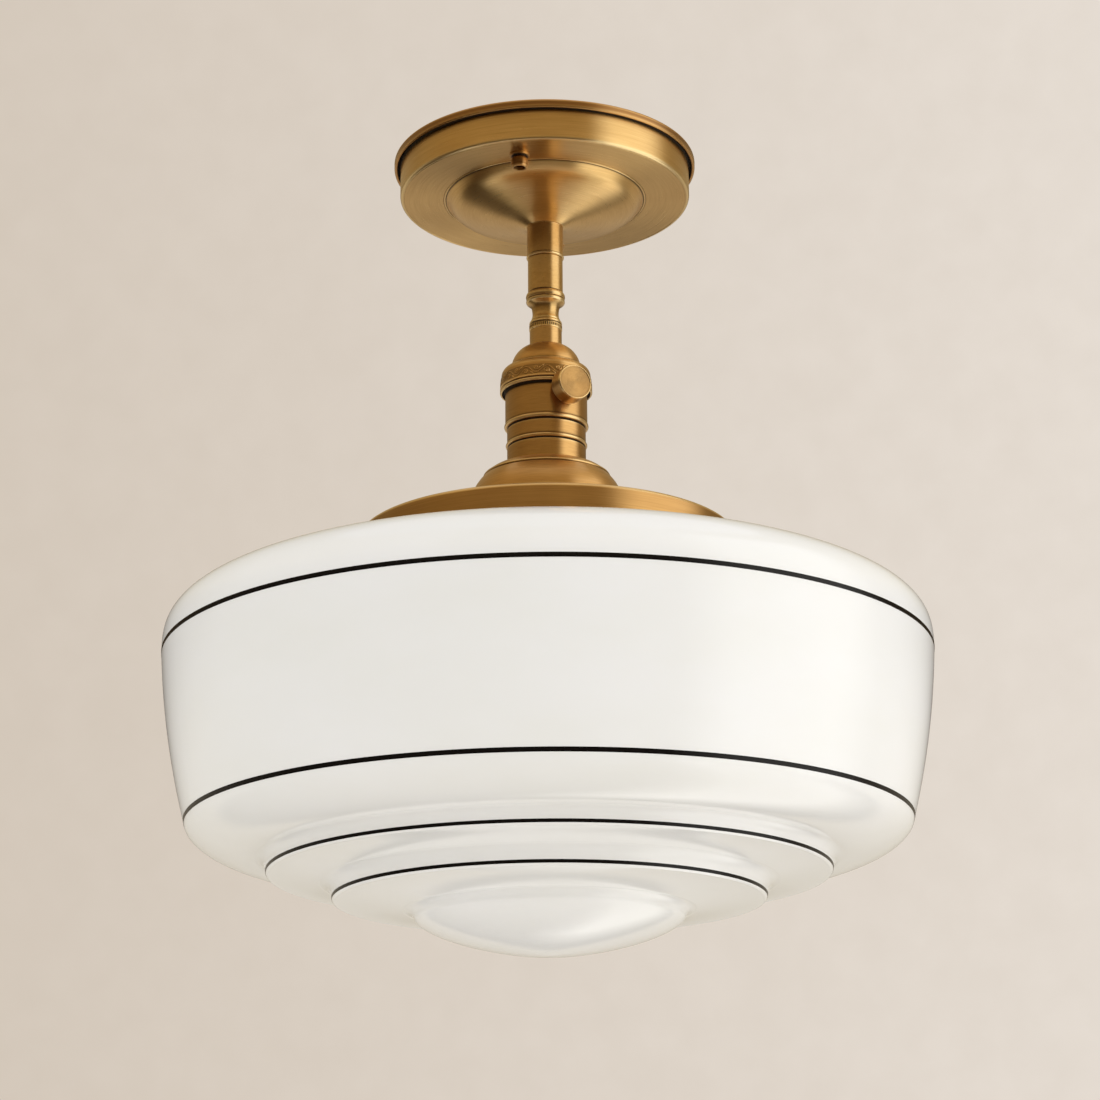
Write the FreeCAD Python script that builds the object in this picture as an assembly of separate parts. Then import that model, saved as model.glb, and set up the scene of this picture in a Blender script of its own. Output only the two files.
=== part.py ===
"""Semi flush ceiling light: opal glass shade on a turned brass stem with a turn-knob lampholder.

Millimetres. The origin is the centre of the face that meets the ceiling, +Z is up, and the light
hangs below it, so most sizes along the axis are written as a drop below the ceiling. The crossbar
lies along Y.
"""
import FreeCAD, Part
import math
import os

from FreeCAD import Vector

# ---- driving dimensions ---------------------------------------------------------------------
PLATE_R = 73.6              # ceiling plate, over its rolled rim
CANOPY_R = 70.6             # canopy drum
CANOPY_DROP = 19.2          # flat underside of the canopy
DOME_R = 49.1               # bead where the canopy's dome starts
NECK_DROP = 33.5            # canopy's neck, where the stem starts
STEM_R = 8.4                # long cylinder of the stem
SHELL_R = 19.6              # lampholder shell
CAP_R = 22.1                # lampholder cap over its ornament band
PAN_R = 89.0                # shade holder's pan, for a 7 inch neck
PAN_DROP = 193.1            # top edge of the pan's skirt
SHADE_R = 178.0             # shade at its widest, 14 inches across
SHADE_DROP = 252.6          # the widest ring of the shade, at its first painted band

SHEET = 1.0                 # spun brass
SLIP = 0.06                 # radial running clearance of a shaft in its bore
GAP = 0.3                   # clearance between pieces that move past each other
NIP = 0.05                  # radial clearance of pieces that are screwed together

# ---- ceiling plate and crossbar
PLATE_SHEET = 1.2
PLATE_RIM_DROP = 4.2
PLATE_HOLE_R = 62.0
BAR_HALF = 60.0
BAR_WIDTH = 22.0
BAR_SHEET = 2.0
SLOT_SPACING = 76.0
SLOT_LENGTH = 24.0
SLOT_R = 2.3
STUD_AT = 55.0              # distance of both canopy studs from the axis
STUD_R = 2.05
NEAR_STUD, FAR_STUD = 180.0, 7.0   # their directions, degrees round from +Y
GROUND_AT = 15.0

# ---- lamp pipe through the stem
PIPE_R = 5.0
PIPE_BORE_R = 3.3
PIPE_BORE = PIPE_R + NIP    # bore of every piece that is screwed on the pipe
PIPE_TOP_DROP = 22.0
PIPE_END_DROP = 103.0
WASHER = 1.2

# ---- stem, by the drop at which each turned piece ends
COLLAR_END = 50.3
BEAD_TOP = 68.0
COVE_END = 82.4
RING_END = 87.6
SLEEVE_END = 95.6

# ---- lampholder
CREASE_DROP = 107.1         # where the cap's dome turns into its band
CAP_LIP_DROP = 120.0
STEP_DROP = 137.5
BEAD_DROP = 146.2
SHELL_END = 172.0
SHELL_WALL = 0.8
LOWER_SHELL_R = SHELL_R - 0.85
HOLDER_BORE = LOWER_SHELL_R + NIP
BODY_R = 17.15
BODY_TOP = 110.0
BODY_END = 143.0
TERMINAL_AT = 9.5
TERMINAL_R = 1.7
RIVET_R = 1.6
RIVET_LENGTH = 4.0
LAMP_THREAD_R = 13.0        # medium screw base

# ---- turn knob
KNOB_R = 8.5
KNOB_BACK = 22.5            # distance of the knob's back from the lamp's axis
KNOB_LENGTH = 8.5
KNOB_DROP = 123.4
KNOB_AZIMUTH = -51.2        # degrees from +X
SHAFT_R = 2.5
SHAFT_IN_KNOB = 4.5

# ---- shade holder
COLLAR_FOOT_R = 36.8
CROWN_DROP = 176.4          # flat middle of the pan, under the collar
SKIRT_END = 217.4

# ---- thumbscrews that hold the shade's neck
SCREW_COUNT = 3
SCREW_AZIMUTH = 105.0       # first screw, degrees from +X
SCREW_DROP = 208.0
SCREW_R = 2.1
SCREW_TIP = 83.7
SCREW_HEAD_AT = 94.6
SCREW_HEAD_R = 4.4
SCREW_HEAD_LENGTH = 6.0

# ---- shade
GLASS = 3.2
NECK_R = 83.4
LIP_R = 86.5
LIP_DROP = 201.0
SHOULDER_RISE = 33.2
SIDE_FOOT_R = 165.6         # where the side wall ends in the first tier
SIDE_HEIGHT = 77.4
BOWL_R = 61.4
BOWL_TOP = 118.7            # drop of the bowl's rim below the widest ring
BAND_SKIN = 0.25
# each painted band: the drop of its middle below the widest ring, and its width
BANDS = ((0.0, 2.1), (77.2, 2.0), (98.7, 1.5), (110.1, 1.5))

# ---- lamp
LAMP_R = 30.0
LAMP_LENGTH = 108.0
LAMP_TOP = 147.3


# ---- drawing helpers ------------------------------------------------------------------------
def outline_edges(start, steps):
    """Edges from a start point through the steps, in (radius, drop).

    A step is a point for a straight run, a pair of points for an arc through the first to the
    second, or a longer list for a smooth curve through all of it.
    """
    edges = []
    here = on_section(start)
    for step in steps:
        if isinstance(step, tuple):
            there = on_section(step)
            edges.append(Part.LineSegment(here, there).toShape())
        elif len(step) == 2:
            there = on_section(step[1])
            edges.append(Part.Arc(here, on_section(step[0]), there).toShape())
        else:
            points = [here] + [on_section(point) for point in step]
            there = points[-1]
            curve = Part.BSplineCurve()
            curve.interpolate(points)
            edges.append(curve.toShape())
        here = there
    return edges


def on_section(point):
    """A (radius, drop) pair as a point in the XZ half plane."""
    radius, drop = point
    return Vector(radius, 0, -drop)


def section(start, *steps):
    """Closed flat face from an outline in (radius, drop)."""
    edges = outline_edges(start, list(steps) + [start])
    return Part.Face(Part.Wire(edges))


def turned(face):
    """The face turned once round the Z axis."""
    return face.revolve(Vector(0, 0, 0), Vector(0, 0, 1), 360)


def upright(radius, top, end, x=0.0, y=0.0):
    """Cylinder along Z between two drops."""
    return Part.makeCylinder(radius, end - top, Vector(x, y, -end))


def tube(outer, bore, top, end):
    """Upright tube between two drops."""
    return upright(outer, top, end).cut(upright(bore, top, end))


def hexagon(across_flats, top, end, x=0.0, y=0.0):
    """Upright hexagonal prism between two drops."""
    reach = across_flats / math.sqrt(3)
    corners = []
    for corner in range(7):
        angle = math.radians(60 * corner)
        corners.append(Vector(x + reach * math.cos(angle), y + reach * math.sin(angle), -end))
    return Part.Face(Part.makePolygon(corners)).extrude(Vector(0, 0, end - top))


def pointing(shape, azimuth, drop):
    """A shape drawn along +Z, laid level to point outwards at an azimuth and a drop."""
    laid = shape.copy()
    laid.rotate(Vector(0, 0, 0), Vector(0, 1, 0), 90)
    laid.rotate(Vector(0, 0, 0), Vector(0, 0, 1), azimuth)
    laid.translate(Vector(0, 0, -drop))
    return laid


def rod(radius, start, end):
    """Cylinder along +Z between two distances, ready for pointing()."""
    return Part.makeCylinder(radius, end - start, Vector(0, 0, start))


def screw_azimuths():
    """Directions of the thumbscrews, evenly spaced."""
    return [SCREW_AZIMUTH + 360 / SCREW_COUNT * turn for turn in range(SCREW_COUNT)]


def at_studs(shape):
    """Copies of a piece drawn at STUD_AT on +Y, one at each stud."""
    copies = []
    for direction in (FAR_STUD, NEAR_STUD):
        copy = shape.copy()
        copy.rotate(Vector(0, 0, 0), Vector(0, 0, 1), direction)
        copies.append(copy)
    return copies


# ---- ceiling plate, crossbar and their screws -----------------------------------------------
def ceiling_plate():
    """Flat ring with a rim rolled over the edge of the canopy drum."""
    rim_inside = PLATE_R - 1.5
    return turned(section(
        (PLATE_HOLE_R, 0), (PLATE_R - 1.2, 0),
        [(PLATE_R - 0.25, 0.5), (PLATE_R, 1.6)], (PLATE_R, PLATE_RIM_DROP - 0.8),
        [(PLATE_R - 0.75, PLATE_RIM_DROP), (rim_inside, PLATE_RIM_DROP - 0.8)],
        (rim_inside, PLATE_SHEET), (PLATE_HOLE_R, PLATE_SHEET)))


def crossbar():
    """Strap across the ceiling box, with two slots for the box screws and two tapped stud holes."""
    strap = Part.makeBox(BAR_WIDTH, 2 * BAR_HALF, BAR_SHEET,
                         Vector(-BAR_WIDTH / 2, -BAR_HALF, -BAR_SHEET))
    corners = [edge for edge in strap.Edges if abs(edge.tangentAt(edge.FirstParameter).z) > 0.9]
    strap = strap.makeFillet(3.0, corners)
    for side in (-1, 1):
        strap = strap.cut(slot_cutter(side * SLOT_SPACING / 2))
    for hole in at_studs(upright(STUD_R + NIP, 0, CANOPY_DROP, 0, STUD_AT)):
        strap = strap.cut(hole)
    centre_hole = upright(PIPE_R + GAP, 0, CANOPY_DROP)
    ground_hole = upright(STUD_R + NIP, 0, CANOPY_DROP, 0, GROUND_AT)
    return strap.cut(centre_hole).cut(ground_hole)


def slot_cutter(middle):
    """Slot along Y with round ends."""
    reach = SLOT_LENGTH / 2 - SLOT_R
    straight = Part.makeBox(2 * SLOT_R, 2 * reach, CANOPY_DROP,
                            Vector(-SLOT_R, middle - reach, -CANOPY_DROP))
    ends = [upright(SLOT_R, 0, CANOPY_DROP, 0, middle + side * reach) for side in (-1, 1)]
    return straight.fuse(ends)


def ground_screw():
    """Earth screw in the crossbar, its head below the strap."""
    shank = upright(STUD_R, 0, BAR_SHEET, 0, GROUND_AT)
    head = hexagon(7.0, BAR_SHEET, BAR_SHEET + 2.4, 0, GROUND_AT)
    collar = upright(4.4, BAR_SHEET, BAR_SHEET + 0.7, 0, GROUND_AT)
    return shank.fuse([head, collar])


def canopy_studs():
    """Two threaded studs that carry the canopy."""
    return Part.makeCompound(at_studs(upright(STUD_R, 0, CANOPY_DROP + 4.6, 0, STUD_AT)))


def stud_lock_nuts():
    """Nuts that lock the studs under the crossbar."""
    end = BAR_SHEET + 3.2
    nut = hexagon(8.7, BAR_SHEET, end, 0, STUD_AT)
    nut = nut.cut(upright(STUD_R + NIP, BAR_SHEET, end, 0, STUD_AT))
    return Part.makeCompound(at_studs(nut))


def cap_nuts():
    """Two round brass nuts under the canopy, with a flange, a neck and a hollow round end."""
    bore = STUD_R + NIP
    flange_r, neck_r, barrel_r, hollow_r = 4.7, 3.4, 4.1, 2.7
    flange_end = CANOPY_DROP + 1.2
    neck_end = flange_end + 0.9
    end = CANOPY_DROP + 7.0
    hollow_top = end - 2.2
    nut = turned(section(
        (bore, CANOPY_DROP), (flange_r, CANOPY_DROP), (flange_r, flange_end), (neck_r, flange_end),
        (neck_r, neck_end), [(barrel_r, neck_end + 1.6), (barrel_r - 0.2, end - 1.2)],
        [(barrel_r - 0.5, end - 0.3), (barrel_r - 1.0, end)], (hollow_r, end),
        (hollow_r, hollow_top), (bore, hollow_top)))
    nut.translate(Vector(0, STUD_AT, 0))
    return Part.makeCompound(at_studs(nut))


# ---- canopy ---------------------------------------------------------------------------------
def canopy_steps(inset):
    """Canopy outline from the drum's top to the neck; the inset shrinks it to the inner face."""
    side = CANOPY_R - inset
    floor = CANOPY_DROP - inset
    return [
        (side, floor - 1.2), [(side - 0.35, floor - 0.35), (side - 1.2, floor)],
        (DOME_R + 0.7, floor), [(DOME_R, floor + 0.6), (DOME_R - 0.8, floor + 0.1)],
        [(DOME_R - 4.4, floor + 4.0), (DOME_R - 11.0, floor + 6.9), (DOME_R - 20.0, floor + 9.2),
         (20.0, floor + 11.3), (13.0, floor + 12.9), (9.2, NECK_DROP - inset)]]


def canopy():
    """Spun pan with a domed middle, its neck bored for the lamp pipe and its floor for the studs."""
    outer = turned(section((0, PLATE_SHEET), (CANOPY_R, PLATE_SHEET), *canopy_steps(0),
                           (0, NECK_DROP)))
    inner = turned(section((0, 0), (CANOPY_R - SHEET, 0), *canopy_steps(SHEET),
                           (0, NECK_DROP - SHEET)))
    spun = outer.cut(inner)
    for hole in at_studs(upright(STUD_R + GAP, 0, NECK_DROP, 0, STUD_AT)):
        spun = spun.cut(hole)
    return spun.cut(upright(PIPE_BORE, 0, NECK_DROP))


def pipe_washer():
    """Washer between the canopy's neck and the pipe nut."""
    end = NECK_DROP - SHEET
    return tube(8.6, PIPE_BORE, end - WASHER, end)


def pipe_nut():
    """Hexagon nut that draws the stem up against the canopy."""
    end = NECK_DROP - SHEET - WASHER
    top = end - 4.5
    return hexagon(14.2, top, end).cut(upright(PIPE_BORE, top, end))


# ---- stem -----------------------------------------------------------------------------------
def stem_pipe():
    """Threaded lamp pipe from inside the canopy to the lampholder cap."""
    return tube(PIPE_R, PIPE_BORE_R, PIPE_TOP_DROP, PIPE_END_DROP)


def stem_collar():
    """Top collar of the stem, with a bead at its foot."""
    return turned(section(
        (PIPE_BORE, NECK_DROP), (8.5, NECK_DROP), (8.8, NECK_DROP + 0.4), (8.8, COLLAR_END - 1.5),
        [(9.05, COLLAR_END - 0.9), (8.7, COLLAR_END - 0.3)], (8.0, COLLAR_END - 0.3),
        (8.0, COLLAR_END), (PIPE_BORE, COLLAR_END)))


def stem_body():
    """Long turned cylinder that ends in a double bead and a cove."""
    return turned(section(
        (PIPE_BORE, COLLAR_END), (STEM_R - 0.3, COLLAR_END), (STEM_R, COLLAR_END + 0.4),
        (STEM_R, BEAD_TOP),
        [(9.35, BEAD_TOP + 1.6), (9.2, BEAD_TOP + 3.3)], (8.9, BEAD_TOP + 3.6),
        [(9.3, BEAD_TOP + 4.5), (8.6, BEAD_TOP + 5.6)],
        [(7.0, BEAD_TOP + 7.2), (6.43, BEAD_TOP + 9.5), (6.43, COVE_END - 2.2),
         (6.9, COVE_END - 0.6)],
        (6.9, COVE_END), (PIPE_BORE, COVE_END)))


def stem_ring():
    """Knurled ring with a groove above and below the knurl."""
    return turned(section(
        (PIPE_BORE, COVE_END), (6.9, COVE_END), [(7.5, COVE_END + 0.5), (7.9, COVE_END + 1.6)],
        (7.6, COVE_END + 1.9), (7.6, COVE_END + 2.3), (7.95, COVE_END + 2.6),
        (7.95, RING_END - 0.3), (7.6, RING_END), (PIPE_BORE, RING_END)))


def stem_sleeve():
    """Plain sleeve down to the lampholder cap."""
    return tube(7.73, PIPE_BORE, RING_END, SLEEVE_END)


# ---- lampholder -----------------------------------------------------------------------------
def cap_steps(inset):
    """Cap outline from its top to its band; the inset shrinks it to the inner face."""
    return [
        (7.7, SLEEVE_END + inset),
        [(15.1 - inset, 101.3 + inset / 2), (16.6 - inset, CREASE_DROP - 0.3)],
        (16.8 - inset, CREASE_DROP + inset / 2),
        [(20.2 - inset, CREASE_DROP + 1.0 + inset), (21.3 - inset, CREASE_DROP + 3.3)],
        (CAP_R - inset, CAP_LIP_DROP - 2.4)]


def socket_cap():
    """Spun cap with a domed top, a flared band and a hem closed on the shell."""
    lip = CAP_LIP_DROP
    outer = turned(section((0, SLEEVE_END), *cap_steps(0), (CAP_R - 0.5, lip - 1.8),
                           [(CAP_R - 0.1, lip - 1.0), (CAP_R - 0.8, lip)], (0, lip)))
    inner = turned(section((0, SLEEVE_END + 3.0), *cap_steps(SHEET)[1:],
                           (SHELL_R + NIP, lip - 1.9), (SHELL_R + NIP, lip + 1), (0, lip + 1)))
    return outer.cut(inner).cut(upright(PIPE_BORE, SLEEVE_END, lip))


def shaft_hole():
    """Hole for the knob's shaft, ready to cut from what is round the lampholder's body."""
    return pointing(rod(SHAFT_R + 0.7, 0, CAP_R), KNOB_AZIMUTH, KNOB_DROP)


def socket_shell():
    """Drawn brass shell with a step and two beads; the knob's shaft passes its side."""
    top = 113.0
    lower = LOWER_SHELL_R
    upper_bore, lower_bore = SHELL_R - SHELL_WALL, LOWER_SHELL_R - SHELL_WALL
    outer = turned(section(
        (0, top), (SHELL_R, top), (SHELL_R, STEP_DROP - 1.5),
        [(SHELL_R + 0.35, STEP_DROP - 0.7), (SHELL_R, STEP_DROP)], (lower, STEP_DROP),
        (lower, BEAD_DROP - 0.9), [(SHELL_R - 0.35, BEAD_DROP - 0.1), (lower, BEAD_DROP + 0.6)],
        (lower - 0.1, SHELL_END), (0, SHELL_END)))
    inner = turned(section(
        (0, 0), (upper_bore, 0), (upper_bore, STEP_DROP - SHELL_WALL), (lower_bore, STEP_DROP),
        (lower_bore, SHELL_END + 1), (0, SHELL_END + 1)))
    return outer.cut(inner).cut(shaft_hole())


def insulating_liner():
    """Fibre tube inside the shell, open where the shaft passes."""
    outer = LOWER_SHELL_R - SHELL_WALL - NIP
    return tube(outer, outer - 0.7, 119.0, SHELL_END - 0.6).cut(shaft_hole())


def socket_body():
    """Moulded insulating body with a chamber for the switch and a bearing for its shaft."""
    body = turned(section(
        (0, BODY_TOP), (BODY_R - 2.5, BODY_TOP), (BODY_R, BODY_TOP + 3.0), (BODY_R, BODY_END - 2.5),
        (LAMP_THREAD_R - 0.4, BODY_END), (0, BODY_END)))
    chamber = pointing(rod(6.2, -4.0, 4.0), KNOB_AZIMUTH, KNOB_DROP)
    bearing = pointing(rod(SHAFT_R + SLIP, -9.0, CAP_R), KNOB_AZIMUTH, KNOB_DROP)
    for side in (-1, 1):
        body = body.cut(upright(TERMINAL_R + NIP, BODY_TOP, BODY_TOP + 6.2, side * TERMINAL_AT))
    rivet_hole = upright(RIVET_R + NIP, BODY_END - RIVET_LENGTH - NIP, BODY_END)
    return body.cut(chamber).cut(bearing).cut(rivet_hole)


def terminal_screws():
    """Two screws that clamp the lead wires on top of the body."""
    screws = []
    for side in (-1, 1):
        x = side * TERMINAL_AT
        head = upright(3.0, BODY_TOP - 1.9, BODY_TOP, x)
        slot = Part.makeBox(0.8, 7.0, 0.8, Vector(x - 0.4, -3.5, -BODY_TOP + 1.2))
        shank = upright(TERMINAL_R, BODY_TOP, BODY_TOP + 6.0, x)
        screws.append(head.cut(slot).fuse(shank))
    return Part.makeCompound(screws)


def lead_wire(side):
    """Insulated lead from the canopy, down the pipe to a terminal; side is -1 or 1."""
    wire_r = 1.1
    inner, outer = side * 1.5, side * 5.3
    top, bend, end = -12.0, -103.6, -(BODY_TOP - wire_r - NIP)
    middle = Vector((inner + outer) / 2, 0, (bend + end) / 2)
    swing = side * 0.62
    route = [Part.LineSegment(Vector(inner, 0, top), Vector(inner, 0, bend)).toShape(),
             Part.Arc(Vector(inner, 0, bend), middle + Vector(-swing, 0, -0.4),
                      Vector(outer, 0, end)).toShape()]
    circle = Part.Wire(Part.makeCircle(wire_r, Vector(inner, 0, top), Vector(0, 0, 1)))
    return Part.Wire(route).makePipeShell([circle], True, False)


def screw_shell():
    """Threaded cup that takes the lamp's base, here with a plain wall."""
    bore, wall, top, end, eye_r = LAMP_THREAD_R + GAP, 0.5, BODY_END, SHELL_END - 1.5, 4.6
    return turned(section(
        (eye_r, top), (bore + wall, top), (bore + wall, end), (bore, end), (bore, top + wall),
        (eye_r, top + wall)))


def centre_contact():
    """Sprung brass contact at the top of the cup."""
    rivet = upright(RIVET_R, BODY_END - RIVET_LENGTH, BODY_END)
    disc = turned(section(
        (0, BODY_END), (3.4, BODY_END), (3.4, BODY_END + 0.6), (2.2, LAMP_TOP - GAP),
        (0, LAMP_TOP - GAP)))
    return rivet.fuse(disc)


# ---- switch ---------------------------------------------------------------------------------
def switch_shaft():
    """Shaft from the switch chamber to the knob."""
    return pointing(rod(SHAFT_R, -8.6, KNOB_BACK + SHAFT_IN_KNOB), KNOB_AZIMUTH, KNOB_DROP)


def switch_cam():
    """Rotating contact on the shaft, with two flats."""
    drum = rod(5.5, -3.2, 3.2)
    keep = Part.makeBox(14.0, 7.6, 6.4, Vector(-7.0, -3.8, -3.2))
    cam = drum.common(keep).cut(rod(SHAFT_R, -3.2, 3.2))
    return pointing(cam, KNOB_AZIMUTH, KNOB_DROP)


def switch_knob():
    """Plain round knob with a thin raised rim round its face."""
    # drawn in (radius, distance along the shaft), which is a drop with its sign turned
    back, face, bevel, rim, dish = -KNOB_BACK, -KNOB_BACK - KNOB_LENGTH, 0.4, 0.6, 0.25
    knob = turned(section(
        (0, back), (KNOB_R - bevel, back), (KNOB_R, back - bevel), (KNOB_R, face + bevel),
        (KNOB_R - bevel, face), (KNOB_R - rim, face), (KNOB_R - rim - dish, face + dish),
        (0, face + dish)))
    knob = knob.cut(rod(SHAFT_R, KNOB_BACK, KNOB_BACK + SHAFT_IN_KNOB))
    return pointing(knob, KNOB_AZIMUTH, KNOB_DROP)


# ---- shade holder ---------------------------------------------------------------------------
def holder_collar():
    """Domed collar that stands on the pan and closes round the lampholder shell."""
    bore, sheet = HOLDER_BORE, SHEET + 0.1
    crease_r, crease = 30.1, 162.4
    outer = turned(section(
        (bore, 157.2), [(23.2, 157.3), (crease_r - 0.8, crease - 1.1)],
        [(crease_r, crease - 0.6), (crease_r - 0.1, crease)], (crease_r + 0.2, crease + 0.2),
        [(34.2, 168.0), (COLLAR_FOOT_R, CROWN_DROP)], (bore, CROWN_DROP)))
    inner = turned(section(
        (bore, 161.5), (27.5, 161.6), (crease_r - sheet, crease + 1.0),
        [(34.0 - sheet, 168.3), (COLLAR_FOOT_R - sheet, CROWN_DROP)], (bore, CROWN_DROP)))
    return outer.cut(inner)


def pan_steps(inset):
    """Pan outline from the collar's foot to the bottom of its skirt."""
    edge = PAN_R - inset
    return [
        [(60.0, 186.4 + inset), (edge - 2.6, PAN_DROP - 0.5 + inset)],
        [(edge - 0.6, PAN_DROP + 0.1 + inset), (edge, PAN_DROP + 1.6 + inset)],
        (edge, SKIRT_END - 1.0)]


def fitter_pan():
    """Spun pan with a domed top and an upright skirt, drilled for the thumbscrews."""
    hem = [(PAN_R + 0.5, SKIRT_END - 0.5), (PAN_R, SKIRT_END)]
    outer = turned(section((0, CROWN_DROP), (COLLAR_FOOT_R, CROWN_DROP), *pan_steps(0), hem,
                           (0, SKIRT_END)))
    inner = turned(section(
        (0, CROWN_DROP + SHEET), (COLLAR_FOOT_R, CROWN_DROP + SHEET), *pan_steps(SHEET),
        (PAN_R - SHEET, SKIRT_END + 1), (0, SKIRT_END + 1)))
    pan = outer.cut(inner).cut(upright(HOLDER_BORE, 0, PAN_DROP))
    for azimuth in screw_azimuths():
        pan = pan.cut(pointing(rod(SCREW_R + SLIP, SCREW_TIP, SCREW_HEAD_AT), azimuth, SCREW_DROP))
    return pan


def clamp_ring():
    """Threaded ring inside the pan that draws it up against the collar and the shell's bead."""
    flange_r, ring_r = 25.5, 22.0
    top, flange_end, end = CROWN_DROP + SHEET, CROWN_DROP + 3.0, CROWN_DROP + 7.0
    return turned(section(
        (HOLDER_BORE, top), (flange_r, top), (flange_r, flange_end), (ring_r, flange_end),
        (ring_r, end), (HOLDER_BORE, end)))


def shell_extension():
    """Threaded sleeve on the end of the lampholder shell that takes the clamp ring."""
    return tube(LOWER_SHELL_R, LOWER_SHELL_R - SHEET, SHELL_END, CROWN_DROP + 8.0)


def screw_bosses():
    """Three tapped bosses on the skirt of the pan."""
    bosses = []
    for azimuth in screw_azimuths():
        boss = rod(3.6, PAN_R - 0.4, PAN_R + 3.6).cut(rod(SCREW_R + SLIP, SCREW_TIP, SCREW_HEAD_AT))
        skirt = upright(PAN_R, SCREW_DROP - 5, SCREW_DROP + 5)
        bosses.append(pointing(boss, azimuth, SCREW_DROP).cut(skirt))
    return Part.makeCompound(bosses)


def screw_shank(azimuth):
    """Thumbscrew's shank, its tip just off the neck of the glass."""
    tip = Part.makeCone(SCREW_R - 0.6, SCREW_R, 0.6, Vector(0, 0, SCREW_TIP))
    shank = rod(SCREW_R, SCREW_TIP + 0.6, SCREW_HEAD_AT).fuse(tip)
    return pointing(shank, azimuth, SCREW_DROP)


def screw_head(azimuth):
    """Round thumb head on a collar."""
    collar_end = SCREW_HEAD_AT + 1.2
    collar = rod(3.0, SCREW_HEAD_AT, collar_end)
    head = rod(SCREW_HEAD_R, collar_end, SCREW_HEAD_AT + SCREW_HEAD_LENGTH)
    return pointing(head.fuse(collar), azimuth, SCREW_DROP)


# ---- shade ----------------------------------------------------------------------------------
def rounded(from_r, to_r, top, depth, power, count=9):
    """Points of a superellipse corner that runs down and inwards from one radius to another."""
    points = []
    for step in range(1, count + 1):
        angle = math.pi / 2 * step / count
        radius = to_r + (from_r - to_r) * max(math.cos(angle), 0.0) ** power
        points.append((radius, top + depth * math.sin(angle) ** power))
    return points


def shoulder(inset):
    """Points of the shoulder, a superellipse from the foot of the neck to the widest ring."""
    # the full curve would be level at middle_r, inside the neck
    middle_r, power, count = 76.0, 0.64, 10
    points = []
    for step in range(1, count + 1):
        angle = math.pi / 2 * step / count
        radius = middle_r + (SHADE_R - middle_r) * math.sin(angle) ** power - inset
        rise = SHOULDER_RISE * max(math.cos(angle), 0.0) ** power - inset
        points.append((radius, SHADE_DROP - rise))
    return points


def bulge(inset):
    """Points of the side wall, which swells a little between its two bands."""
    swell, count = 2.1, 5
    points = []
    for step in range(1, count + 1):
        along = step / count
        radius = SHADE_R + (SIDE_FOOT_R - SHADE_R) * along + swell * 4 * along * (1 - along) - inset
        drop = SHADE_DROP + inset + (SIDE_HEIGHT - 2 * inset) * along
        points.append((radius, drop))
    return points


def tier_steps(inset):
    """Stepped underside: three tiers and a bowl, each a soft corner after a filleted riser."""
    base = SHADE_DROP - inset
    first = rounded(SIDE_FOOT_R - inset, 133.0 - inset, base + SIDE_HEIGHT, 15.3, 1.11)
    bowl = rounded(BOWL_R - inset, 0.0, base + BOWL_TOP, 17.1, 1.30)
    return [
        first,
        [(129.7 - inset, base + 94.4), (128.6 - inset, base + 98.0)],
        (128.4 - inset, base + 99.1),
        [(127.9 - inset, base + 99.9), (126.6 - inset, base + 100.2)],
        [(116.0 - inset, base + 101.1), (104.5 - inset, base + 103.0)],
        [(100.1 - inset, base + 105.4), (98.7 - inset, base + 109.3)],
        (98.5 - inset, base + 110.6),
        [(98.0 - inset, base + 111.4), (96.8 - inset, base + 111.7)],
        [(82.0 - inset, base + 112.8), (66.5 - inset, base + 115.2)],
        [(63.0 - inset, base + 116.5), (BOWL_R - inset, base + BOWL_TOP)],
        bowl]


def shade_section(inset):
    """Solid section of the shade with its outline moved inwards by the inset."""
    neck = NECK_R - inset
    foot = SHADE_DROP - SHOULDER_RISE + inset
    fillet = 3.0
    return section(
        (0, LIP_DROP), (neck, LIP_DROP), (neck, foot - fillet),
        [(neck + 0.9, foot - 0.9), (neck + fillet, foot)], shoulder(inset), bulge(inset),
        *tier_steps(inset))


def glass_shade():
    """Blown opal shade with a thick-lipped neck, open at the top."""
    lip = section(
        (NECK_R - 0.5, LIP_DROP), (LIP_R - 0.8, LIP_DROP),
        [(LIP_R, LIP_DROP + 0.9), (LIP_R, LIP_DROP + 2.0)],
        [(LIP_R - 1.0, LIP_DROP + 3.4), (NECK_R - 0.5, LIP_DROP + 4.5)])
    wall = shade_section(0).cut(shade_section(GLASS))
    return turned(wall.fuse(lip).removeSplitter().Faces[0])


def painted_bands():
    """Four thin rings of black enamel on the outside of the glass."""
    skin = shade_section(-BAND_SKIN).cut(shade_section(0))
    rings = []
    for middle, width in BANDS:
        top = SHADE_DROP + middle - width / 2
        window = section((BOWL_R, top), (SHADE_R + 1, top), (SHADE_R + 1, top + width),
                         (BOWL_R, top + width))
        rings.append(turned(skin.common(window).Faces[0]))
    return Part.makeCompound(rings)


# ---- lamp -----------------------------------------------------------------------------------
def lamp_section(inset):
    """Section of the bulb with its outline moved inwards by the inset."""
    neck_end = LAMP_TOP + 26.0
    end = LAMP_TOP + LAMP_LENGTH - inset
    middle = LAMP_TOP + LAMP_LENGTH - LAMP_R
    round_r = LAMP_R - inset
    diagonal = round_r * math.sqrt(0.5)
    return section(
        (0, neck_end), (12.9 - inset, neck_end),
        [(14.6 - inset, neck_end + 9.0), (19.5 - inset, neck_end + 20.0),
         (27.0 - inset, middle - 12.0), (round_r, middle)],
        [(diagonal, middle + diagonal), (0, end)])


def lamp_glass():
    """Pear-shaped bulb, a thin shell open where its neck enters the cap."""
    return turned(lamp_section(0).cut(lamp_section(1.0)).Faces[0])


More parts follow.
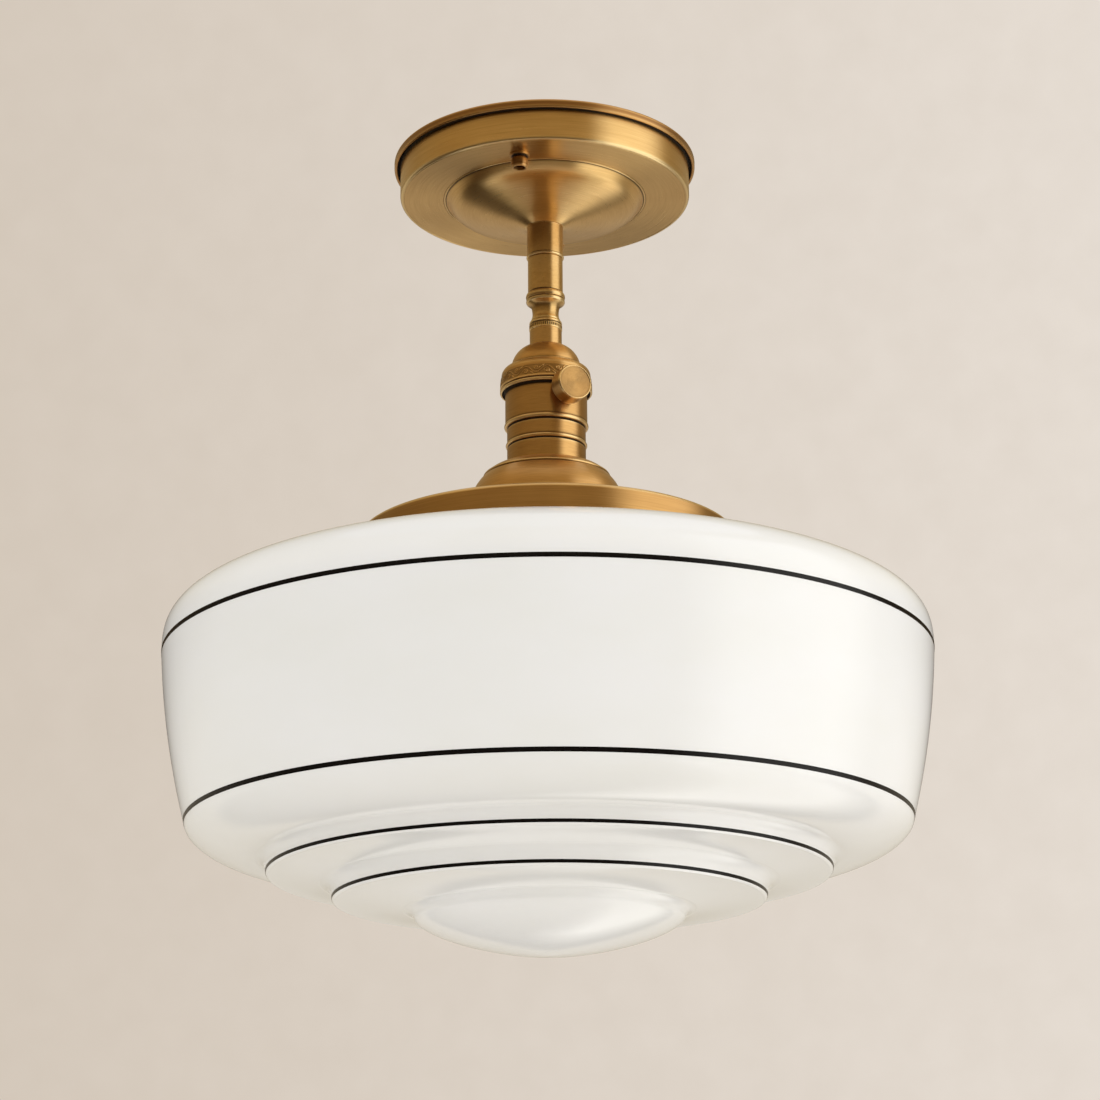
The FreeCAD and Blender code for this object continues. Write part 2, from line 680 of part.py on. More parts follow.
def lamp_cap():
    """Lamp's screw base, a plain cup with an insulated crown."""
    top = LAMP_TOP + 1.6
    crown = LAMP_TOP + 5.0
    end = LAMP_TOP + 26.0
    wall = 0.8
    return turned(section(
        (0, top), (5.0, top), (LAMP_THREAD_R - 0.5, crown), (LAMP_THREAD_R, crown + 0.6),
        (LAMP_THREAD_R, end), (LAMP_THREAD_R - wall, end), (LAMP_THREAD_R - wall, crown + 1.4),
        (5.0, top + 2.0), (0, top + 2.0)))


def lamp_tip():
    """Solder contact on the lamp's base."""
    return turned(section(
        (0, LAMP_TOP), (2.0, LAMP_TOP), (4.2, LAMP_TOP + 1.0), (4.2, LAMP_TOP + 1.6),
        (0, LAMP_TOP + 1.6)))


# ---- build ----------------------------------------------------------------------------------
def all_pieces():
    """Every node's name with its shape."""
    pieces = {
        "ceiling_plate": ceiling_plate(),
        "crossbar": crossbar(),
        "ground_screw": ground_screw(),
        "canopy_studs": canopy_studs(),
        "stud_lock_nuts": stud_lock_nuts(),
        "cap_nuts": cap_nuts(),
        "canopy": canopy(),
        "pipe_washer": pipe_washer(),
        "pipe_nut": pipe_nut(),
        "stem_pipe": stem_pipe(),
        "stem_collar": stem_collar(),
        "stem_body": stem_body(),
        "stem_ring": stem_ring(),
        "stem_sleeve": stem_sleeve(),
        "socket_cap": socket_cap(),
        "socket_shell": socket_shell(),
        "shell_extension": shell_extension(),
        "insulating_liner": insulating_liner(),
        "socket_body": socket_body(),
        "terminal_screws": terminal_screws(),
        "live_lead": lead_wire(-1),
        "neutral_lead": lead_wire(1),
        "screw_shell": screw_shell(),
        "centre_contact": centre_contact(),
        "switch_shaft": switch_shaft(),
        "switch_cam": switch_cam(),
        "switch_knob": switch_knob(),
        "holder_collar": holder_collar(),
        "fitter_pan": fitter_pan(),
        "clamp_ring": clamp_ring(),
        "screw_bosses": screw_bosses(),
        "glass_shade": glass_shade(),
        "painted_bands": painted_bands(),
        "lamp_glass": lamp_glass(),
        "lamp_cap": lamp_cap(),
        "lamp_tip": lamp_tip(),
    }
    for number, azimuth in enumerate(screw_azimuths(), start=1):
        pieces[f"screw_shank_{number}"] = screw_shank(azimuth)
        pieces[f"screw_head_{number}"] = screw_head(azimuth)
    return pieces


os.makedirs("parts", exist_ok=True)
for name, shape in all_pieces().items():
    shape.exportStep(f"parts/{name}.step")
    print(name, "solids", len(shape.Solids), "valid", shape.isValid(), "mm3", round(shape.Volume))
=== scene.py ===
# %% [markdown]
# # Semi flush ceiling light in brushed brass and opal glass
# The light hangs from a ceiling box: a ceiling plate, a spun canopy with a domed middle, a turned
# stem, a turn-knob lampholder and a shade holder that carries a stepped opal glass shade.
# This file dresses the finished CAD model: it loads the CAD nodes, puts finely turned surfaces
# over the ones that show, gives every node a finish, and lights the whole like a small studio.

import math

import bpy
import numpy as np
from mathutils import Matrix, Vector


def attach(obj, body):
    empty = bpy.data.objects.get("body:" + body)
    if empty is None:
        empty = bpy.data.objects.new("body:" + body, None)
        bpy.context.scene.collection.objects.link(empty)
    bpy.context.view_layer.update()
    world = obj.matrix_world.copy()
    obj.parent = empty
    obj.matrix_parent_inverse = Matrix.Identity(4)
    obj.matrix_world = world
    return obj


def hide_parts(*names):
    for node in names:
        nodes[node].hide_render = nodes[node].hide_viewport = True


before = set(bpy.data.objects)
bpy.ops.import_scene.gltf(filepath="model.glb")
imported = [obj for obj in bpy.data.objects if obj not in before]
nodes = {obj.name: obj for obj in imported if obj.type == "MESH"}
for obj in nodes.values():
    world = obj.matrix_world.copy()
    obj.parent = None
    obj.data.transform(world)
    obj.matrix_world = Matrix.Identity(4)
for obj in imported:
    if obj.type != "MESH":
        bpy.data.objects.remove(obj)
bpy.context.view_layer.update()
MM = 0.001

# %% [markdown]
# ## Camera
# The photograph looks up at the light from a little below the shade. A long lens keeps the rings
# of the canopy and the shade nearly parallel. The camera stands level with the shade's foot,
# a bit over a metre away, and tilts up. Building its matrix from three turns (round the vertical,
# then up, then a slight roll) keeps each angle readable.

# %% Camera
CAMERA_TURN = math.radians(12.27)
CAMERA_TILT = math.radians(90 + 16.69)
CAMERA_ROLL = math.radians(-0.42)
CAMERA_PLACE = Vector((0.2599, -1.1889, -0.5624))

camera_data = bpy.data.cameras.new("camera")
camera_data.sensor_width = 36.0
camera_data.lens = 88.36
camera_data.clip_start = 0.05
camera = bpy.data.objects.new("camera", camera_data)
bpy.context.scene.collection.objects.link(camera)
camera.matrix_world = (Matrix.Translation(CAMERA_PLACE) @ Matrix.Rotation(CAMERA_TURN, 4, "Z")
                       @ Matrix.Rotation(CAMERA_TILT, 4, "X")
                       @ Matrix.Rotation(CAMERA_ROLL, 4, "Z"))
bpy.context.scene.camera = camera
print("camera", tuple(round(c, 3) for c in camera.matrix_world.translation))

# %% [markdown]
# ## Tools for materials
# A finish is a small graph of nodes. One function turns a hex colour to linear light, and one
# adds a node with its settings and its links, so that every recipe below reads as a list of steps.

# %% Material tools
def linear(code):
    """sRGB hex to linear RGBA: divide by 12.92 near black, else raise to the power 2.4."""
    channels = np.array([int(code[i:i + 2], 16) for i in (1, 3, 5)]) / 255
    bright = ((channels + 0.055) / 1.055) ** 2.4
    return (*np.where(channels <= 0.04045, channels / 12.92, bright).tolist(), 1.0)


def add(tree, kind, settings=None, **inputs):
    """Adds a node. Settings are its properties; inputs are values or sockets.

    An input goes by the socket's name, or by its number as in i0 and i1.
    """
    node = tree.nodes.new(kind)
    for key, value in (settings or {}).items():
        setattr(node, key, value)
    for key, value in inputs.items():
        name = key.replace("_", " ")
        by_number = key[0] == "i" and key[1:].isdigit()
        socket = node.inputs[int(key[1:]) if by_number else name]
        if isinstance(value, bpy.types.NodeSocket):
            tree.links.new(value, socket)
        else:
            socket.default_value = value
    return node


def new_material(name):
    """An empty material, and its Principled shader."""
    material = bpy.data.materials.new(name)
    material.use_nodes = True
    return material, material.node_tree, material.node_tree.nodes["Principled BSDF"]


def shade_with(tree, shader, colour, roughness, bump):
    """Links colour, roughness and bump to the shader."""
    tree.links.new(colour, shader.inputs["Base Color"])
    tree.links.new(roughness, shader.inputs["Roughness"])
    tree.links.new(bump, shader.inputs["Normal"])


def blend_colours(tree, factor, first, second):
    """Mix of two colours, hex or socket."""
    mix = add(tree, "ShaderNodeMix", {"data_type": "RGBA"}, i0=factor)
    for socket, value in ((mix.inputs[6], first), (mix.inputs[7], second)):
        if isinstance(value, str):
            socket.default_value = linear(value)
        else:
            tree.links.new(value, socket)
    return mix.outputs[2]


def span(tree, value, low, high, to_low, to_high):
    """Maps a value from one range to another and holds it there."""
    return add(tree, "ShaderNodeMapRange", None, Value=value, From_Min=low, From_Max=high,
               To_Min=to_low, To_Max=to_high).outputs[0]


# %% [markdown]
# ## Brushed brass
# The visible metal is spun or turned brass, brushed while it turns, toned brown and lacquered. The
# brush leaves hair lines that run round each piece. Light spreads across such lines far more than
# along them, so a lamp shows as a wedge on a dome and as a long stripe on a tube: that is
# anisotropy, turned a quarter so that it lies across the lines. The lines follow the surface, so
# the pattern reads the piece's own UV map, where U goes once round and V is the length along the
# profile. U is bent into a circle before the noise, which leaves no seam. The attribute
# "tarnish_and_shade" says where the toning was left in grooves and where it was rubbed off edges.
# Some pieces add painted shade to it: in the gap under the plate's rim, under the cap's lip and on
# the knob's face. The lighter edges are a painted highlight as well as wear.

# %% Brushed brass
def brushed_brass(name, light, dark, deep, worn_edge_highlight, rough, lay=0.8):
    """Brass brushed round its axis, with hair lines about 0.4 mm apart, as coarse as shows."""
    material, tree, shader = new_material(name)
    uv = add(tree, "ShaderNodeUVMap", {"uv_map": "turned"}).outputs[0]
    split = add(tree, "ShaderNodeSeparateXYZ", None, Vector=uv)
    turn = add(tree, "ShaderNodeMath", {"operation": "MULTIPLY"}, i0=split.outputs[0], i1=2 * math.pi)
    east = add(tree, "ShaderNodeMath", {"operation": "COSINE"}, i0=turn.outputs[0])
    north = add(tree, "ShaderNodeMath", {"operation": "SINE"}, i0=turn.outputs[0])
    around = add(tree, "ShaderNodeCombineXYZ", None, X=east.outputs[0], Y=north.outputs[0],
                 Z=split.outputs[1])
    noises = []
    for stretch in ((3.2, 3.2, 290.0), (1.3, 1.3, 60.0)):
        fit = add(tree, "ShaderNodeMapping", None, Vector=around.outputs[0])
        fit.inputs["Scale"].default_value = stretch
        noises.append(add(tree, "ShaderNodeTexNoise", None, Vector=fit.outputs[0], Scale=1.0,
                          Detail=3.0).outputs[0])
    hair, sweep = noises
    place = add(tree, "ShaderNodeTexCoord").outputs["Object"]
    cloud = add(tree, "ShaderNodeTexNoise", None, Vector=place, Scale=24.0, Detail=2.0).outputs[0]
    toned = blend_colours(tree, span(tree, cloud, 0.35, 0.65, 0.0, 0.35), light, dark)
    combed = blend_colours(tree, span(tree, sweep, 0.4, 0.7, 0.0, 0.2), toned, dark)
    haired = blend_colours(tree, span(tree, hair, 0.42, 0.75, 0.0, 0.4), combed, dark)
    tarnish_and_shade = add(tree, "ShaderNodeAttribute", {"attribute_name": "tarnish_and_shade"}).outputs["Fac"]
    # Grooves take the deep colour: tone left in them, plus painted shade where a piece's relief adds
    # it.
    sunk = blend_colours(tree, span(tree, tarnish_and_shade, 0.05, 0.6, 0.0, 0.95), haired, deep)
    # Edges go lighter: brass rubbed through its tone, plus a painted highlight along each edge.
    rubbed_and_highlit = blend_colours(tree, span(tree, tarnish_and_shade, -0.04, -0.45, 0.0, 0.75), sunk, worn_edge_highlight)
    dull = add(tree, "ShaderNodeMath", {"operation": "ADD"},
               i0=span(tree, hair, 0.3, 0.75, rough - 0.03, rough + 0.05),
               i1=span(tree, tarnish_and_shade, 0.3, 1.0, 0.0, 0.4))
    roughness = dull.outputs[0]
    tree.links.new(span(tree, tarnish_and_shade, 0.5, 1.0, 1.0, 0.2), shader.inputs["Metallic"])
    tree.links.new(span(tree, tarnish_and_shade, 0.2, 0.7, 0.3, 0.0), shader.inputs["Coat Weight"])
    bump = add(tree, "ShaderNodeBump", None, Height=hair, Distance=0.00002, Strength=0.3)
    shade_with(tree, shader, rubbed_and_highlit, roughness, bump.outputs[0])
    tangent = add(tree, "ShaderNodeTangent", {"direction_type": "UV_MAP", "uv_map": "turned"})
    tree.links.new(tangent.outputs[0], shader.inputs["Tangent"])
    for socket, value in (("Anisotropic", lay), ("Anisotropic Rotation", 0.25),
                          ("Coat Roughness", 0.18)):
        shader.inputs[socket].default_value = value
    return material


BRASS = brushed_brass("brushed_brass_lacquered", "#E4BD7C", "#BE9350", "#241508", "#F8DDA4", 0.30)
# A browner, darker copy of the brass, for the sleeve, the lampholder and the shade holder.
WARM_BRASS = brushed_brass("brushed_brass_darker", "#D9AB68", "#AC7D44", "#1C1006", "#FADB9E", 0.31)
# The darkest copy of the brass, for the plate's rim and the cap nuts.
DARK_BRASS = brushed_brass("darkest_brass_rim_and_nuts", "#AC7C44", "#80592B", "#1A0F06", "#DCAE6C", 0.36)
print("materials", [m.name for m in (BRASS, WARM_BRASS, DARK_BRASS)])

# %% [markdown]
# ## Other finishes
# Each of these starts from the real stuff: how it is made says what its surface does to light.
# Most of them have one quiet pattern in the colour and the same pattern in the roughness and bump.

# %% Finish with one quiet pattern
def patterned(name, light, dark, rough, spread, scale, stretch=(1, 1, 1), relief=0.00002,
              metallic=0.0, **sockets):
    """A material whose noise of one scale (cells per metre) moves colour, roughness and bump."""
    material, tree, shader = new_material(name)
    place = add(tree, "ShaderNodeTexCoord").outputs["Object"]
    fit = add(tree, "ShaderNodeMapping", None, Vector=place)
    fit.inputs["Scale"].default_value = stretch
    noise = add(tree, "ShaderNodeTexNoise", None, Vector=fit.outputs[0], Scale=scale,
                Detail=3.0).outputs[0]
    colour = blend_colours(tree, span(tree, noise, 0.3, 0.7, 0.0, 1.0), light, dark)
    roughness = span(tree, noise, 0.3, 0.7, rough - spread, rough + spread)
    bump = add(tree, "ShaderNodeBump", None, Height=noise, Distance=relief, Strength=0.5)
    shade_with(tree, shader, colour, roughness, bump.outputs[0])
    shader.inputs["Metallic"].default_value = metallic
    for key, value in sockets.items():
        shader.inputs[key.replace("_", " ")].default_value = value
    return material


# Blown opal glass: white all through, fire polished, with the slow waves of the mould.
OPAL = patterned("opal_glass_blown", "#F4F2EE", "#F1EFE9", 0.085, 0.015, 14.0, (1, 1, 2.2), 0.00012,
                 IOR=1.52, Subsurface_Weight=0.18, Subsurface_Scale=0.004,
                 Subsurface_Radius=(1.0, 0.97, 0.9))
# Vitreous enamel line, brushed on by hand and fired: deep black with a glassy skin.
ENAMEL = patterned("black_enamel_line", "#0B0908", "#15110E", 0.22, 0.04, 900.0, (1, 1, 1), 0.00001,
                   Specular_IOR_Level=0.2)
# Zinc plated steel strap: pale grey, a little mottled.
ZINC = patterned("zinc_plated_steel", "#B9BBBC", "#8F9293", 0.36, 0.08, 420.0, metallic=1.0)
# Plain machined brass of parts that nobody sees.
MILL_BRASS = patterned("machined_brass", "#C9A25A", "#A9803F", 0.34, 0.07, 700.0, (1, 1, 5),
                       metallic=1.0)
# Moulded phenolic body of the lampholder: brown-black, satin where the mould was polished.
PHENOLIC = patterned("phenolic_moulded", "#1E1714", "#2A201B", 0.32, 0.08, 260.0, IOR=1.55)
# Earth screw: steel passivated green.
GREEN_STEEL = patterned("green_passivated_steel", "#2F7048", "#23583A", 0.38, 0.08, 600.0,
                        metallic=1.0)
# Vulcanised fibre liner: dark grey-brown pressed paper.
FIBRE = patterned("vulcanised_fibre", "#3A322B", "#2A241F", 0.62, 0.08, 900.0, (1, 1, 3))
# Soft PVC lead covers, one dark and one pale.
PVC_BLACK = patterned("pvc_lead_black", "#1B1B1C", "#262627", 0.42, 0.05, 500.0)
PVC_WHITE = patterned("pvc_lead_white", "#DEDBD2", "#CFCBC0", 0.42, 0.05, 500.0)
# Lamp: soft white frosted bulb, nickel plated cap, tin solder.
FROSTED = patterned("frosted_bulb_glass", "#F4F1EA", "#EAE6DC", 0.42, 0.04, 300.0, IOR=1.5,
                    Subsurface_Weight=0.2, Subsurface_Scale=0.003)
NICKEL = patterned("nickel_plated_cap", "#C6BFB2", "#A8A093", 0.26, 0.06, 500.0, metallic=1.0)
SOLDER = patterned("tin_solder", "#A8A9AA", "#7F8183", 0.4, 0.1, 900.0, metallic=1.0)

# %% [markdown]
# ## Turning surfaces
# Nearly every piece of this light is turned, so one tool makes them: a profile in millimetres,
# (radius, drop below the ceiling), is carried once round the axis on a grid. The outline is
# written as steps, as a turner would chalk it: a pair is a straight cut, two pairs are an arc
# through the first to the second, and a longer list is a smooth curve through all its points.

# %% Outlines
def arc(start, middle, end):
    """Arc by its circle: the centre is equally far from all three points."""
    a, b, c = (np.array(p, float) for p in (start, middle, end))
    rows = 2 * np.array([b - a, c - a])
    centre = np.linalg.solve(rows, np.array([b @ b - a @ a, c @ c - a @ a]))
    first, mid, last = (math.atan2(*(p - centre)[::-1]) for p in (a, b, c))
    sweep = (last - first) % (2 * math.pi)
    if (mid - first) % (2 * math.pi) > sweep:
        sweep -= 2 * math.pi
    radius = np.linalg.norm(a - centre)
    count = int(np.clip(abs(sweep) * radius / 0.3, 6, 48))
    turn = first + sweep * np.arange(1, count + 1) / count
    return centre + radius * np.stack([np.cos(turn), np.sin(turn)], 1)


def smooth_curve(start, through, per_run=10):
    """Cubic spline by chord length, with no bending at its ends.

    The bend at the knots solves one linear system, and each run mixes the bends of its two ends.
    """
    knots = np.array([start, *through], float)
    length = np.r_[0, np.cumsum(np.linalg.norm(np.diff(knots, axis=0), axis=1))]
    gap = np.diff(length)
    slope = np.diff(knots, axis=0) / gap[:, None]
    system = np.eye(len(knots))
    inside = np.arange(1, len(knots) - 1)
    system[inside, inside - 1] = gap[:-1]
    system[inside, inside] = 2 * (gap[:-1] + gap[1:])
    system[inside, inside + 1] = gap[1:]
    right = np.zeros_like(knots)
    right[1:-1] = 6 * np.diff(slope, axis=0)
    bend = np.linalg.solve(system, right)
    at = np.linspace(0, length[-1], per_run * len(gap) + 1)[1:]
    run = np.clip(np.searchsorted(length, at, side="left") - 1, 0, len(gap) - 1)
    before, after = (at - length[run])[:, None], (length[run + 1] - at)[:, None]
    wide = gap[run][:, None]
    curved = (bend[run] * after**3 + bend[run + 1] * before**3) / (6 * wide)
    straight = ((knots[run] / wide - bend[run] * wide / 6) * after
                + (knots[run + 1] / wide - bend[run + 1] * wide / 6) * before)
    return curved + straight


def outline(start, *steps):
    """Points along the steps, in (radius, drop)."""
    parts = [np.array([start], float)]
    for step in steps:
        here = parts[-1][-1]
        if isinstance(step, tuple):
            parts.append(np.array([step], float))
        elif isinstance(step, np.ndarray):
            parts.append(step)
        elif len(step) == 2:
            parts.append(arc(here, *step))
        else:
            parts.append(smooth_curve(here, step))
    return np.concatenate(parts)


def sheet_outline(outer, inner):
    """Closed outline of a sheet: down its outside and back up its inside."""
    return np.concatenate([outer, inner[::-1]])


print("arc test", arc((1, 0), (0, 1), (-1, 0))[-1].round(6))

# %% [markdown]
# A turned edge is never razor sharp: the tool or the buff breaks it. Every corner of an outline is
# therefore cut back a fraction of a millimetre and bridged with a short curve, with one more point
# on each side so that the smooth shading stays in the corner. The highlight that runs along these
# tiny bevels is what makes metal look real.

# %% Break the edges
def break_edges(points, radius, closed, sharp=math.radians(14)):
    """Cuts each corner back by radius times the tangent of half its turn, then bends across it."""
    before = np.roll(points, 1, axis=0) - points
    after = np.roll(points, -1, axis=0) - points
    far_before = np.linalg.norm(before, axis=1) + 1e-9
    far_after = np.linalg.norm(after, axis=1) + 1e-9
    before, after = before / far_before[:, None], after / far_after[:, None]
    turn = np.arccos(np.clip(-(before * after).sum(1), -1, 1))
    corner = turn > sharp
    if not closed:
        corner[[0, -1]] = False
    reach = np.minimum(radius * np.tan(np.minimum(turn, 2.6) / 2),
                       0.4 * np.minimum(far_before, far_after))
    guard = reach + np.minimum(0.25 * radius, 0.08 * np.minimum(far_before, far_after))
    blend = np.linspace(0, 1, 5)[:, None, None]
    start, end = points + before * reach[:, None], points + after * reach[:, None]
    bend = (1 - blend)**2 * start + 2 * blend * (1 - blend) * points + blend**2 * end
    rows = np.concatenate([(points + before * guard[:, None])[None], bend,
                           (points + after * guard[:, None])[None]])
    keep = np.repeat(corner[None], len(rows), axis=0)
    rows[0, ~corner], keep[0, ~corner] = points[~corner], True
    return rows.transpose(1, 0, 2)[keep.T]


def divide(points, step, closed):
    """Adds points on the outline so that none are further apart than the step."""
    ring = np.concatenate([points, points[:1]]) if closed else points
    length = np.r_[0, np.cumsum(np.linalg.norm(np.diff(ring, axis=0), axis=1))]
    at = np.unique(np.r_[length, np.arange(0, length[-1], step)])
    at = at[np.r_[True, np.diff(at) > 1e-4]]
    if closed:
        at = at[at < length[-1] - 1e-4]
    return np.stack([np.interp(at, length, ring[:, 0]), np.interp(at, length, ring[:, 1])], 1)


# %% [markdown]
# The brass was toned dark and then rubbed: the rag reaches the edges but not the grooves. Comparing
# each point of the profile with the average of its neighbourhood tells which is which. A point that
# lies inside its average is in a groove and keeps the tone; one that lies outside it is an edge.

# %% Tarnish from the shape
def tarnish_along(points, normal, closed, reach=0.7):
    """How far the point lies below a bell-weighted average of the profile, in parts of the reach."""
    step = np.linalg.norm(np.roll(points, -1, axis=0) - points, axis=1)
    if not closed:
        step[-1] = 0.0
    at = np.r_[0, np.cumsum(step)[:-1]]
    apart = np.abs(at[:, None] - at[None])
    if closed:
        apart = np.minimum(apart, step.sum() - apart)
    share = (step + np.roll(step, 1)) / 2
    weight = np.exp(-0.5 * (apart / reach) ** 2) * share[None]
    average = weight @ points / weight.sum(1)[:, None]
    return ((average - points) * normal).sum(1) / reach * 2.2


# %% [markdown]
# A shape is kept as plain arrays until it becomes a mesh, so that it can be laid on its side,
# repeated or joined first. Where the profile touches the axis the whole ring shrinks to one
# point, and the four-sided cells there drop their doubled corner.

# %% The turning tool
def turned(points, segments=192, edge=0.15, fine=None, relief=None, closed=True):
    """Surface of revolution: (r, drop) goes to (r cos a, r sin a, -drop), a once round the axis."""
    points = break_edges(points, edge, closed)
    if fine:
        points = divide(points, fine, closed)
    radius, height = points[:, 0], -points[:, 1]
    area = np.sum(radius * np.roll(height, -1) - np.roll(radius, -1) * height)
    if area < 0:
        points = points[::-1]
        radius, height = points[:, 0], -points[:, 1]
    if closed:
        along = np.roll(points, -1, axis=0) - np.roll(points, 1, axis=0)
    else:
        along = np.gradient(points, axis=0)
    along /= np.linalg.norm(along, axis=1)[:, None] + 1e-12
    normal = np.stack([-along[:, 1], along[:, 0]], 1)
    tarnish_and_shade = np.repeat(tarnish_along(points, normal, closed)[:, None], segments, 1)
    angle = 2 * np.pi * np.arange(segments)[None] / segments
    rise = np.zeros((len(points), segments))
    if relief:
        # A relief adds tone to its grooves; some reliefs also add painted shade.
        rise, toned = relief(angle, points[:, 1:], radius[:, None])
        rise, tarnish_and_shade = rise + 0 * tarnish_and_shade, tarnish_and_shade + toned
    out = radius[:, None] + rise * normal[:, :1]
    places = np.stack([out * np.cos(angle), out * np.sin(angle),
                       height[:, None] - rise * normal[:, 1:]], -1)
    pole = radius < 1e-6
    index = np.arange(places[..., 0].size).reshape(places.shape[:2])
    index[pole] = index[pole, :1]
    used, index = np.unique(index, return_inverse=True)
    index = index.reshape(len(points), segments)
    length = np.r_[0, np.cumsum(np.linalg.norm(np.diff(points, axis=0), axis=1))]
    if closed:
        index = np.concatenate([index, index[:1]])
        length = np.r_[length, length[-1] + np.linalg.norm(points[-1] - points[0])]
    index = np.concatenate([index, index[:, :1]], 1)
    around = np.linspace(0, 1, segments + 1)
    uv = np.stack(np.meshgrid(around, length / 100), -1)
    cells = [np.s_[:-1, :-1], np.s_[:-1, 1:], np.s_[1:, 1:], np.s_[1:, :-1]]
    quads = np.stack([index[cell] for cell in cells], -1).reshape(-1, 4)
    marks = np.stack([uv[cell] for cell in cells], -2).reshape(-1, 4, 2)
    keep = np.stack([quads[:, 0] != quads[:, 3], quads[:, 1] != quads[:, 0],
                     quads[:, 2] != quads[:, 1], quads[:, 3] != quads[:, 2]], 1)
    return {"places": places.reshape(-1, 3)[used], "loops": quads[keep], "sizes": keep.sum(1),
            "uv": marks[keep], "tarnish_and_shade": tarnish_and_shade.reshape(-1)[used]}


def laid(shape, matrix):
    """The shape moved by a matrix, in millimetres."""
    matrix = np.array(matrix)
    return {**shape, "places": shape["places"] @ matrix[:3, :3].T + matrix[:3, 3]}


def pointing(shape, azimuth, drop):
    """A shape turned about the vertical axis, laid level to point outwards."""
    turn = Matrix.Rotation(math.radians(azimuth), 4, "Z") @ Matrix.Rotation(math.pi / 2, 4, "Y")
    return laid(shape, Matrix.Translation((0, 0, -drop)) @ turn)


def shifted(shape, x, y):
    """A shape moved sideways."""
    return laid(shape, Matrix.Translation((x, y, 0)))


def joined(*shapes):
    """Several shapes as one."""
    starts = np.cumsum([0] + [len(s["places"]) for s in shapes[:-1]])
    whole = {key: np.concatenate([s[key] for s in shapes])
             for key in ("places", "sizes", "uv", "tarnish_and_shade")}
    whole["loops"] = np.concatenate([s["loops"] + n for s, n in zip(shapes, starts)])
    return whole


# %% Make a piece
def piece(name, shape, material, body, *replaced):
    """A mesh at the origin from a shape in millimetres, riding on a body in place of CAD nodes."""
    mesh = bpy.data.meshes.new(name)
    mesh.vertices.add(len(shape["places"]))
    mesh.vertices.foreach_set("co", (shape["places"] * MM).astype(np.float32).ravel())
    mesh.loops.add(len(shape["loops"]))
    mesh.loops.foreach_set("vertex_index", shape["loops"].astype(np.int32))
    mesh.polygons.add(len(shape["sizes"]))
    starts = np.r_[0, np.cumsum(shape["sizes"])[:-1]]
    mesh.polygons.foreach_set("loop_start", starts.astype(np.int32))
    mesh.update(calc_edges=True)
    mesh.uv_layers.new(name="turned").data.foreach_set("uv", shape["uv"].astype(np.float32).ravel())
    mesh.attributes.new("tarnish_and_shade", "FLOAT", "POINT").data.foreach_set(
        "value", shape["tarnish_and_shade"].astype(np.float32))
    mesh.shade_smooth()
    mesh.materials.append(material)
    made = bpy.data.objects.new(name, mesh)
    bpy.context.scene.collection.objects.link(made)
    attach(made, body)
    if replaced:
        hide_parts(*replaced)
    print(name, "faces", len(mesh.polygons), "mm", [round(d / MM, 1) for d in made.dimensions])
    return made


# %% [markdown]
# ## Ceiling plate and canopy
# The ceiling plate is a flat ring whose rim is rolled down over the top edge of the canopy, with a
# thin shadow between the two, painted dark into the brass of both pieces. The canopy is one spun
# sheet: an upright drum, a flat ring, a fine bead and a dome that sweeps down to the stem. The
# sweep is one smooth curve through a few points.

# %% Plate and canopy
PLATE_R, PLATE_HOLE_R, CANOPY_R, DOME_R = 73.6, 62.0, 70.6, 49.1
CANOPY_DROP, NECK_DROP = 19.2, 33.5
SHEET = 1.0
BORE = 5.05


def canopy_side(inset):
    """Outside of the canopy from the drum's top to its neck, moved in by the inset.

    A hair-fine groove runs inside the drum's lower edge, and a fine bead where the dome starts.
    """
    side, floor = CANOPY_R - inset, CANOPY_DROP - inset
    return outline(
        (side, 1.2), (side, floor - 1.2), [(side - 0.35, floor - 0.35), (side - 1.2, floor)],
        (side - 1.7, floor), (side - 1.85, floor - 0.15), (side - 2.0, floor), (DOME_R + 0.5, floor),
        (DOME_R + 0.3, floor - 0.2), [(DOME_R - 0.2, floor + 0.3), (DOME_R - 0.7, floor + 0.1)],
        [(DOME_R - 4.4, floor + 4.0), (DOME_R - 11.0, floor + 6.9), (DOME_R - 20.0, floor + 9.2),
         (20.0, floor + 11.3), (13.0, floor + 12.9), (9.2, NECK_DROP - inset)])


def gap_painted_shadow(angle, drop, radius):
    """No relief, but painted shadow in the gap between the plate's rim and the drum."""
    gap_shadow_mask = np.where(radius > 72.3, 0, np.clip((4.6 - drop) / 0.8, 0, 1)) * (radius > 68)
    return 0 * drop, 1.1 * gap_shadow_mask + 0 * angle


rim = outline((PLATE_HOLE_R, 0), (PLATE_R - 1.2, 0), [(73.35, 0.5), (PLATE_R, 1.6)],
              (PLATE_R, 3.4), [(72.85, 4.2), (PLATE_R - 1.5, 3.4)], (PLATE_R - 1.5, 1.2),
              (PLATE_HOLE_R, 1.2))
piece("plate_with_rolled_rim", turned(rim, 320, 0.15, 0.6, gap_painted_shadow), DARK_BRASS, "fixture",
      "ceiling_plate")
canopy = sheet_outline(np.vstack([canopy_side(0), [(BORE, NECK_DROP)]]),
                       np.vstack([canopy_side(SHEET), [(BORE, NECK_DROP - SHEET)]]))
piece("canopy_spun", turned(canopy, 384, 0.16, 1.1, gap_painted_shadow), BRASS, "fixture", "canopy")

# %% [markdown]
# ## Screw threads and knurls
# A thread is a groove that climbs one pitch per turn, so its height over the plain cylinder is a
# zigzag of (drop / pitch + angle / full turn). A straight knurl is a wave of the angle alone. Both
# are added along the surface's own normal, and both leave more tone in their hollows.

